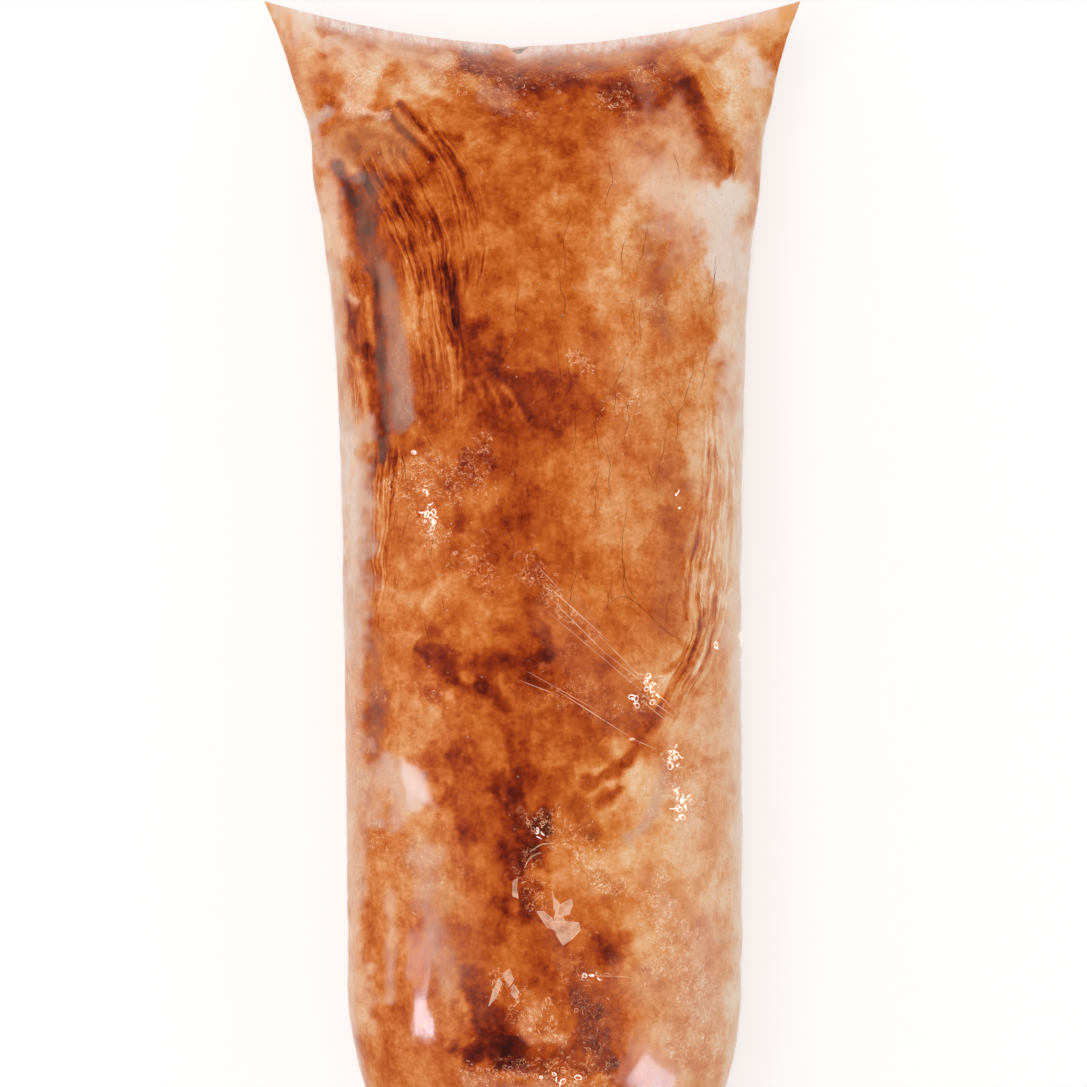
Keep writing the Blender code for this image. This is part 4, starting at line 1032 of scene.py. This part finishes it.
def film_material():
    """Clear film: it takes hardly any colour and shines where it is seen aslant."""
    g = Graph("clear_film")
    place = g.add("ShaderNodeTexCoord", output=3)
    wrinkle = g.add("ShaderNodeMapping", {"Vector": place, "Scale": (1000.0, 420.0, 1000.0)})
    crinkle = g.noise(wrinkle, 0.35, 2.0, 0.5)
    bent = g.add("ShaderNodeBump", {"Height": crinkle, "Strength": 0.2, "Distance": 0.0003})
    shine = g.add("ShaderNodeBsdfAnisotropic", {"Color": WHITE, "Roughness": 0.1, "Normal": bent})
    clear = g.add("ShaderNodeBsdfTransparent", {"Color": FILM_TINT})
    facing = g.math("POWER", g.add("ShaderNodeLayerWeight", {"Blend": 0.5}, 1), 4.0)
    share = g.math("ADD", g.math("MULTIPLY", facing, 0.13), 0.006)
    return g.finish(g.add("ShaderNodeMixShader", {0: share, 1: clear, 2: shine}))


def loose_film_material():
    """Gathered film: folds make it milky and streaked."""
    g = Graph("gathered_film")
    place = g.add("ShaderNodeTexCoord", output=3)
    streak = g.add("ShaderNodeMapping", {"Vector": place, "Scale": (1000.0, 160.0, 1000.0)})
    folds = g.noise(streak, 0.9, 5.0, 0.6)
    bent = g.add("ShaderNodeBump", {"Height": folds, "Strength": 0.6, "Distance": 0.0004})
    tint = g.colour(folds, srgb(226, 205, 190), srgb(250, 246, 243))
    body = g.add("ShaderNodeBsdfPrincipled", {"Base Color": tint, "Roughness": 0.18, "Normal": bent,
                                              "Specular IOR Level": 0.6})
    clear = g.add("ShaderNodeBsdfTransparent", {"Color": FILM_TINT})
    limits = {"From Min": 0.3, "From Max": 0.7, "To Min": 0.4, "To Max": 0.85}
    share = g.add("ShaderNodeMapRange", {"Value": folds, **limits})
    return g.finish(g.add("ShaderNodeMixShader", {0: share, 1: clear, 2: body}))


def mark_material(name, tint, glow, cover):
    """A mark on the ice, stronger in places. glow is how brightly it shines by itself, painted light that
    makes the mark look brighter than the lamps alone make it.
    """
    g = Graph(name)
    place = g.add("ShaderNodeTexCoord", output=3)
    uneven = g.noise(place, 900.0, 3.0)
    matt = g.add("ShaderNodeBsdfDiffuse", {"Color": srgb(*tint)})
    painted_glow = g.add("ShaderNodeEmission", {"Color": srgb(*tint), "Strength": glow})
    clear = g.add("ShaderNodeBsdfTransparent")
    body = g.add("ShaderNodeAddShader", {0: matt, 1: painted_glow})
    share = g.smooth(uneven, 0.35, 0.6, 0.5 * cover, cover)
    return g.finish(g.add("ShaderNodeMixShader", {0: share, 1: clear, 2: body}))


# The ice, a little inside the film
ice_runs = runs(0.06, 0.27, 0.7, ICE_END)[:, None]
grid_run, grid_angle = np.broadcast_arrays(ice_runs, columns(*ICE_COLUMNS)[None, :])
ice_skin = skin(grid_run, grid_angle)
ice_normal = outward(ice_skin)
u, v = seen(ice_skin)
top = ease((np.sin(grid_angle) + 0.3) / 0.3)
edge = np.clip(1.0 - ice_normal[..., 2], 0.0, 1.2)
fields = paint_ice(u, v, top, grid_run, edge)
carve = ICE_RELIEF * cloudy(u, v, 4.0, 91, 4) * ease((ice_skin[..., 2] - 3.0) / 5.0) - ICE_DEPTH
ice_points = ice_skin + ice_normal * carve[..., None]
ice_points[..., 2] = np.maximum(ice_points[..., 2], 0.05)
ice_faces = ring_faces(*ice_points.shape[:2], *ICE_COLUMNS)
ice = add_object("frozen_mix", ice_points.reshape(-1, 3), ice_faces, ice_material())
for name, values in fields.items():
    layer = ice.data.attributes.new(name, "FLOAT", "POINT")
    layer.data.foreach_set("value", np.ascontiguousarray(values, dtype=np.float32).ravel())
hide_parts("bag")

ice_tree = BVHTree.FromPolygons([Vector(p) for p in ice_points.reshape(-1, 3)], ice_faces)


def on_ice(place):
    """The point of the ice that the eye sees at u and v, and the way it faces."""
    aim = Vector((place[0], LENGTH / 2 - place[1], EYE_LEVEL)) - EYE
    hit, normal, _, _ = ice_tree.ray_cast(EYE, aim.normalized())
    if hit is None:
        return None, None
    return hit, normal if normal.z > 0.0 else -normal


class Marks:
    """Fine raised marks on the ice, gathered into one mesh."""

    def __init__(self):
        self.verts, self.faces = [], []

    def ridge(self, places, width, height=0.04):
        """A slim ridge with a sharp crest along a line of places, tapering to both ends."""
        found = [on_ice(place) for place in places]
        found = [pair for pair in found if pair[0] is not None]
        if len(found) < 3:
            return
        start = len(self.verts)
        count = len(found)
        for step, (point, normal) in enumerate(found):
            before, after = found[max(0, step - 1)][0], found[min(count - 1, step + 1)][0]
            along = (after - before).normalized()
            side = normal.cross(along).normalized()
            slim = width / 2 * (0.25 + 0.75 * math.sin(math.pi * (step + 0.5) / count))
            foot = point - normal * 0.01
            self.verts += [foot - side * slim, foot + side * slim, point + normal * height]
        for step in range(count - 1):
            here, there = start + 3 * step, start + 3 * step + 3
            for a, b in ((0, 1), (1, 2), (2, 0)):
                self.faces.append((here + a, here + b, there + b, there + a))
        self.faces.append((start + 2, start + 1, start))
        last = start + 3 * count - 3
        self.faces.append((last, last + 1, last + 2))

    def plate(self, outline, height=0.1):
        """A thin flake with straight edges."""
        found = [on_ice(place) for place in outline]
        start, count = len(self.verts), len(found)
        self.verts += [point + normal * height for point, normal in found]
        self.verts += [point - normal * 0.04 for point, normal in found]
        self.faces.append(tuple(start + step for step in range(count)))
        self.faces.append(tuple(start + count + step for step in reversed(range(count))))
        for step in range(count):
            beside = (step + 1) % count
            self.faces.append((start + step, start + count + step, start + count + beside, start + beside))

    def add(self, name, material):
        return add_object(name, [tuple(p) for p in self.verts], self.faces, material, smooth=False)


def ring(rng, place, radius):
    """A small closed ring, as a bubble leaves."""
    long, lean = radius * rng.uniform(1.0, 1.7), rng.uniform(0.0, math.pi)
    made = []
    for step in range(11):
        angle = 2.0 * math.pi * step / 10
        across, along = radius * math.cos(angle), long * math.sin(angle)
        made.append((place[0] + across * math.cos(lean) - along * math.sin(lean),
                     place[1] + across * math.sin(lean) + along * math.cos(lean)))
    return made


def curl(rng, place, size, turn):
    """A short bent line near a place."""
    length = rng.uniform(0.4, 1.4) * size
    bend = rng.normal(0.0, 1.6) / size
    heading = turn + rng.normal(0.0, 0.7)
    x, y = place
    made = []
    for _ in range(7):
        made.append((x, y))
        heading += bend * length / 6 + rng.normal(0.0, 0.25)
        x += math.cos(heading) * length / 6
        y += math.sin(heading) * length / 6
    return made


def lace(marks, rng, middle, across, down, count, size=0.5, width=0.11, turn=1.3):
    """A cluster of short curls and small rings where the film touches the ice."""
    for _ in range(count):
        out, round_it = math.sqrt(rng.uniform()), rng.uniform(0.0, 2.0 * math.pi)
        place = (middle[0] + across * out * math.cos(round_it), middle[1] + down * out * math.sin(round_it))
        if rng.uniform() < 0.35:
            marks.ridge(ring(rng, place, size * rng.uniform(0.2, 0.42)), 0.8 * width)
        else:
            marks.ridge(curl(rng, place, size, turn), width * rng.uniform(0.6, 1.3))


def crack(marks, rng, place, length, width=0.11, lean=0.0):
    """A fine crack that wanders downwards."""
    x, y = place
    made = []
    steps = max(8, int(length / 0.3))
    drift = lean
    for _ in range(steps):
        made.append((x, y))
        drift = 0.7 * drift + 0.3 * lean + rng.normal(0.0, 0.22)
        x += drift * length / steps
        y += length / steps
    marks.ridge(made, width, 0.03)


def straight(start, end, count=24):
    """Points evenly along a straight line."""
    start, end = np.array(start), np.array(end)
    return [start + (end - start) * step / count for step in range(count + 1)]


rng = np.random.default_rng(7)

# Pale squiggles where the film touches the ice
white = Marks()
for place, across, down, count in (
    ((-11.4, 58.2), 0.9, 1.8, 30), ((-12, 54.9), 0.9, 0.9, 8), ((-9, 53.3), 4.9, 3.1, 26),
    ((-7.9, 62.2), 1.8, 1.3, 10), ((1.4, 65.2), 1.6, 2, 12), ((4.6, 39.9), 0.9, 0.8, 12),
    ((6.2, 41), 0.9, 0.6, 6), ((8.9, 45), 1.3, 1.3, 8), ((11.5, 44.4), 0.7, 0.8, 8),
    ((12.5, 33.9), 1.6, 0.6, 6), ((8.9, 10.7), 1.8, 1.8, 12), ((13.5, 8.5), 1.1, 0.9, 8),
    ((0.8, 9.8), 3.3, 0.9, 8), ((12.9, 76.9), 1.3, 1.6, 34), ((15.7, 84.2), 0.6, 2, 22),
    ((16.7, 89.4), 1.3, 2, 38), ((18.7, 87), 0.7, 2, 8), ((0.6, 91.9), 1.3, 0.9, 12),
    ((4.7, 94.8), 1.8, 1.1, 10), ((7.5, 97.2), 0.9, 1.1, 5), ((-0.3, 98.1), 0.6, 2, 6),
    ((-3.4, 109.7), 1.3, 2, 10), ((6.4, 108.7), 2.2, 0.7, 12), ((7, 114.8), 2.5, 4.9, 10),
    ((1.4, 114.8), 1.6, 2.5, 18), ((-0.3, 119.8), 5.6, 1.1, 26), ((12.5, 99.8), 2, 1.1, 12),
    ((17.6, 109.8), 2.7, 5.6, 22), ((-20.6, 9.4), 0.4, 1.6, 8), ((-19, 11.8), 1.8, 0.7, 10),
    ((24, 6.5), 1, 1.3, 6), ((23.8, 14.5), 0.8, 1.8, 6), ((-10.8, 78), 1, 1.3, 5),
    ((-19.9, 80.3), 0.7, 10, 14), ((18.7, 98.1), 2.7, 6.7, 10), ((-5.9, 9.6), 2.7, 1.3, 10),
    ((-14.2, 97), 4.5, 5.6, 14),
):
    lace(white, rng, place, across, down, count)
# Longer wrinkles at the right ear and beside the left one, and bright squiggles on the right
for line in (
    [(19.2, 6.9), (20, 9.4), (21.6, 10.7), (22.5, 11.4)],
    [(21.6, 10.7), (22.7, 10.3), (23.4, 11.6), (23.1, 12.9)], [(22.5, 13.2), (23.4, 13.8), (24.9, 16.5)],
    [(22.2, 16.3), (22.9, 17.8), (22.5, 19.6), (23.4, 19)],
    [(-20.1, 7.7), (-18.6, 7.6), (-17, 8.3), (-16.9, 9.4)], [(-20.5, 8), (-20.6, 9.6), (-20.3, 10.9)],
    [(5.3, 108.7), (7.5, 108.8), (10, 108.9), (12.4, 109.2)],
):
    white.ridge(smooth_line(line, 6), 0.11)
for line in ([(-0.3, 95), (0.9, 94.2), (2.2, 94)], [(-0.9, 96.8), (-0.3, 95.7), (0.9, 95)]):
    white.ridge(smooth_line(line, 6), 0.16, 0.05)
# Fine upright wrinkles along both margins, where the film turns down
margin = np.random.default_rng(11)
for left, right, high, low, count in ((-20.9, -19.4, 40.0, 82.0, 44), (20.6, 22.2, 46.0, 104.0, 40)):
    for _ in range(count):
        x, y = margin.uniform(left, right), margin.uniform(high, low)
        length, sway = margin.uniform(1.2, 5.0), margin.normal(0.0, 0.15)
        wrinkle = smooth_line([(x, y), (x + sway, y + 0.5 * length), (x, y + length)], 6)
        white.ridge(wrinkle, 0.08, 0.03)
# The pale lace marks shine a little by themselves, a faint painted glow
white.add("film_lace", mark_material("film_contact", (250, 200, 156), 0.1, 0.9))

# The brightest squiggles, pale marks with a strong glow of their own that is a painted highlight
bright = Marks()
for place, across, down, count in (
    ((-11.3, 57.8), 0.9, 2, 16), ((-12.1, 54.6), 0.7, 0.6, 4), ((15.8, 84.5), 0.6, 1.8, 16),
    ((16.7, 89.4), 1.2, 2.2, 22), ((13.1, 76.7), 1, 1.7, 16), ((11.5, 78), 0.6, 0.7, 5),
    ((6.6, 108.8), 0.9, 0.3, 4), ((3.1, 120.2), 2.2, 0.6, 6), ((-13.4, 50.4), 0.2, 0.2, 2),
    ((0.8, 92.8), 0.6, 0.6, 4), ((16, 55.8), 0.6, 0.9, 3), ((20.5, 71.8), 0.2, 0.4, 2),
    ((23.2, 71.4), 0.2, 3.3, 5),
):
    lace(bright, rng, place, across, down, count, 0.62, 0.16)
bright.add("squiggles_painted_glint", mark_material("squiggle_painted_glint", (255, 246, 236), 0.8, 1.0))

# Fine cracks in the ice, raised lines whose dark tint is painted shade inside the cracks
dark = Marks()
for _ in range(40):
    crack(dark, rng, (rng.uniform(-3.6, 21.1), rng.uniform(15.1, 66.9)), rng.uniform(2.5, 8.0), 0.075)
for _ in range(12):
    crack(dark, rng, (rng.uniform(-16.4, -9.2), rng.uniform(47.9, 72.5)), rng.uniform(2.5, 5.0), 0.075, 0.1)
for line in (
    [(8, 67.8), (10, 66.5), (12, 67.6), (15.1, 70.5), (16.9, 71.4)],
    [(10.6, 56.3), (10, 60.8), (10.4, 64.7), (12, 67.6)],
):
    dark.ridge(smooth_line(line, 8), 0.08, 0.03)
dark.add("hairline_cracks", mark_material("crack_shadow", (128, 46, 12), 0.0, 0.8))

# Straight scratches in the film, pale lines with a glow of their own that is a painted highlight
lines = Marks()
for start, end, width in (
    ((1.5, 65.1), (8.4, 71.4), 0.09), ((2.2, 66.9), (8, 72.7), 0.08), ((0.2, 62.7), (3.1, 65.8), 0.07),
    ((1.7, 68.2), (12, 76.9), 0.06), ((7.5, 70.9), (16, 79.4), 0.08), ((8, 72.7), (15.6, 78.7), 0.07),
    ((11.5, 76.9), (15.6, 79.8), 0.08), ((12, 78), (15.1, 80.5), 0.07), ((-1.6, 75.8), (3.1, 77.6), 0.06),
    ((2.6, 76.9), (11.1, 82.3), 0.08), ((-0.5, 74.9), (7.5, 79.4), 0.05),
    ((11.2, 82.4), (13.7, 83.5), 0.08),
):
    lines.ridge(straight(start, end), width, 0.04)
lines.ridge(straight((10.8, 82.4), (11.4, 82.4), 6), 0.36, 0.06)
lines.add("film_scratches", mark_material("scratch_painted_glint", (255, 224, 194), 0.25, 0.85))

# Thin pale frosty flakes between film and ice; their faint glow and the stronger glow of their pale rims are
# painted light
flakes, rims = Marks(), Marks()
for outline in (
    [(2.2, 99.3), (2.5, 100.2), (3.1, 100.9), (2.8, 101.7), (2.4, 101.4)],
    [(2.8, 101), (3.6, 100.6), (4.4, 100.2), (4.5, 100.9), (4.1, 101.9), (3.2, 102.2), (2.5, 102)],
    [(0.5, 101.6), (1.2, 101.6), (2.2, 102.4), (2.4, 103.7), (1.7, 103.4), (1.1, 102.6)],
    [(2.2, 102.7), (3.7, 102.7), (5.2, 102.9), (5.3, 103.7), (4.4, 104.7), (3.4, 105.4), (2.7, 104.3)],
    [(2.4, 102.1), (3.4, 102.2), (3.6, 102.8), (2.5, 102.9)],
    [(-2.2, 98.3), (-1.6, 97.8), (-1.8, 99), (-1.6, 100.2), (-2.2, 99.9)],
    [(-4.9, 112.2), (-4.4, 110.4), (-3.7, 109), (-3.4, 109.7), (-4, 111.1)],
    [(-3.3, 108.6), (-2.6, 108), (-2.1, 109.2), (-2.5, 109.9), (-3, 109.3)],
    [(-2.1, 109.7), (-1.5, 110.6), (-1.8, 111.5), (-2.4, 110.8)],
):
    flakes.plate(outline)
    rims.ridge(outline + outline[:1], 0.09)
flakes.add("frost_flakes", mark_material("frost_flake", (252, 210, 176), 0.1, 0.6))
rims.add("flake_rims", mark_material("flake_rim", (255, 236, 214), 0.3, 0.9))

# The film, a skin of its own over the ice
film_runs = runs(0.0, 0.9, 0.9, SHOULDER_END + NECK_LENGTH)[:, None]
film_run, film_angle = np.broadcast_arrays(film_runs, columns(*FILM_COLUMNS)[None, :])
film_skin = skin(film_run, film_angle)
film_normal = outward(film_skin)
film_u, film_v = seen(film_skin)
raised = ease((film_skin[..., 2] - 3.0) / 5.0)
pucker = FILM_PUCKER * cloudy(film_u * 1.6, film_v * 0.8, 3.0, 57, 3) * raised + FILM_GAP
film_points = film_skin + film_normal * pucker[..., None]
film_points[..., 2] = np.maximum(film_points[..., 2], 0.0)
film_faces = ring_faces(*film_points.shape[:2], *FILM_COLUMNS)
film = add_object("film_bag", film_points.reshape(-1, 3), film_faces, film_material())
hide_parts("bag")

# From the end of the shoulder the film is gathered into the neck
gathered = loose_film_material()
film.data.materials.append(gathered)
film_rings, film_around = film_points.shape[:2]
first_neck_ring = int(np.searchsorted(film_run[:, 0], GATHERED_RUN))
for face in film.data.polygons:
    if first_neck_ring <= face.index // film_around < film_rings - 1:
        face.material_index = 1

# The knot: gathered film wound through itself
knot_x, knot_z = (float(value) for value in centre(np.array(SHOULDER_END)))


def rope(name, line, radius, sides=24, pleats=7, twists=8):
    """A closed loop of gathered film along a line of points, with pleats that wind round it."""
    verts, faces = [], []
    count = len(line)
    for step in range(count):
        turned = 2.0 * math.pi * twists * step / count
        here, before, after = line[step], line[step - 1], line[(step + 1) % count]
        along = (after - before).normalized()
        side = along.cross(Vector((0.0, 1.0, 0.0))).normalized()
        up = side.cross(along).normalized()
        for turn in range(sides):
            angle = 2.0 * math.pi * turn / sides
            reach = radius * (1.0 + 0.13 * math.cos(pleats * angle + turned))
            verts.append(here + side * (reach * math.cos(angle)) + up * (reach * math.sin(angle)))
    for step in range(count):
        start, after = step * sides, (step + 1) % count * sides
        for turn in range(sides):
            beside = (turn + 1) % sides
            faces.append((start + turn, after + turn, after + beside, start + beside))
    return add_object(name, [tuple(p) for p in verts], faces, gathered)


def knot_place(step):
    """A place on the closed line that the rope follows, three times over and under itself."""
    t = 2.0 * math.pi * step / KNOT_STEPS
    reach = KNOT_REACH + KNOT_SWING * math.cos(3.0 * t)
    x, z = knot_x + reach * math.cos(2.0 * t), knot_z + reach * math.sin(2.0 * t)
    return Vector((x, KNOT_Y + KNOT_DEPTH * math.sin(3.0 * t), z))


knot = rope("knot", [knot_place(step) for step in range(KNOT_STEPS)], KNOT_ROPE)
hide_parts("bag")

# The loose tail: two layers of film, ruffled and cut straight
tail_wide, tail_long = 96, 40
down_tail, over_tail = np.linspace(0.0, 1.0, tail_long + 1), np.linspace(-1.0, 1.0, tail_wide + 1)
share, across = np.meshgrid(down_tail, over_tail, indexing="ij")
half = NECK_RADIUS + (TAIL_HALF_WIDTH - NECK_RADIUS) * share**0.8
wave = np.sin(np.pi * TAIL_RUFFLES * across + 0.6 + 0.8 * share)
fold = 0.35 * np.sin(np.pi * 9.0 * across + 2.0 * share) * (0.3 + 0.7 * (1.0 - share))
sheet_z = knot_z - TAIL_DROOP * share**1.5 + TAIL_RUFFLE * share * wave + fold
cut = -0.5 * LENGTH + 1.2 * across**2 + 0.25 * np.sin(7.0 * across)
sheet = np.stack((knot_x + half * across, TAIL_START + (cut - TAIL_START) * share, sheet_z), axis=-1)
lift = (0.0, 0.0, TAIL_THICKNESS / 2)
tail_verts = np.concatenate(((sheet + lift).reshape(-1, 3), (sheet - lift).reshape(-1, 3)))
tail_faces = []
layer_size = (tail_wide + 1) * (tail_long + 1)
for row in range(tail_long):
    for column in range(tail_wide):
        a = row * (tail_wide + 1) + column
        quad = (a, a + tail_wide + 1, a + tail_wide + 2, a + 1)
        tail_faces += [quad, tuple(layer_size + corner for corner in reversed(quad))]
border = list(range(tail_wide))
border += [row * (tail_wide + 1) + tail_wide for row in range(tail_long)]
border += [tail_long * (tail_wide + 1) + column for column in range(tail_wide, 0, -1)]
border += [row * (tail_wide + 1) for row in range(tail_long, 0, -1)]
for here, there in zip(border, border[1:] + border[:1]):
    tail_faces.append((here, there, layer_size + there, layer_size + here))
tail = add_object("loose_tail", tail_verts, tail_faces, gathered)
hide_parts("bag")

# The floor, lights and camera
g = Graph("pale_table")
glow = g.add("ShaderNodeEmission", {"Color": WHITE, "Strength": AMBIENT})
matt = g.add("ShaderNodeBsdfDiffuse", {"Color": (0.42, 0.42, 0.42, 1.0)})
table_look = g.finish(g.add("ShaderNodeAddShader", {0: glow, 1: matt}))
table_mesh = bpy.data.meshes.new("table")
corners = [(x * TABLE_REACH, y * TABLE_REACH, 0.0) for x, y in ((-1, -1), (1, -1), (1, 1), (-1, 1))]
table_mesh.from_pydata(corners, [], [(0, 1, 2, 3)])
table_mesh.materials.append(table_look)
table = bpy.data.objects.new("table", table_mesh)
bpy.context.scene.collection.objects.link(table)

world = bpy.data.worlds.new("studio")
bpy.context.scene.world = world
world.use_nodes = True
world.node_tree.nodes["Background"].inputs["Color"].default_value = WHITE
world.node_tree.nodes["Background"].inputs["Strength"].default_value = AMBIENT


def area_light(name, place, aim, size, power, glossy=True, diffuse=True):
    """A lamp with its place and aim in millimetres and its size in metres."""
    data = bpy.data.lights.new(name, "AREA")
    data.shape = "RECTANGLE"
    data.size, data.size_y = size
    data.energy = power
    lamp = bpy.data.objects.new(name, data)
    bpy.context.scene.collection.objects.link(lamp)
    lamp.location = Vector(place) * MM
    lamp.rotation_euler = (Vector(aim) - Vector(place)).to_track_quat("-Z", "Y").to_euler()
    lamp.visible_glossy = glossy
    lamp.visible_diffuse = diffuse
    return lamp


area_light("key", (-150.0, 80.0, 700.0), (0.0, 10.0, 10.0), (0.5, 0.5), 1.9, glossy=False)
# Windows that only the film mirrors: two on the left, and a far one with a glow round it on the right
left_spot, right_spot = (-12.0, -40.0, 28.0), (16.0, -38.0, 20.0)
for name, place, aim, size, power in (
    ("window", (-330.0, -115.0, 210.0), left_spot, (0.11, 0.09), 3.3),
    ("window_pane", (-330.0, -50.0, 210.0), left_spot, (0.02, 0.09), 0.15),
    ("far_window", (500.0, -335.0, 330.0), right_spot, (0.16, 0.38), 12.0),
    ("far_halo", (500.0, -340.0, 335.0), right_spot, (0.28, 0.6), 5.0),
):
    area_light(name, place, aim, size, power, diffuse=False).data.color = DAYLIGHT

camera_data = bpy.data.cameras.new("camera")
camera_data.sensor_width = SENSOR_WIDTH
camera_data.lens = SENSOR_WIDTH * (EYE.z - EYE_LEVEL) / PHOTO_WIDTH
camera_data.clip_start = 0.01
camera = bpy.data.objects.new("camera", camera_data)
camera.location = EYE * MM
bpy.context.scene.collection.objects.link(camera)
bpy.context.scene.camera = camera
bpy.context.scene.view_settings.view_transform = "Standard"
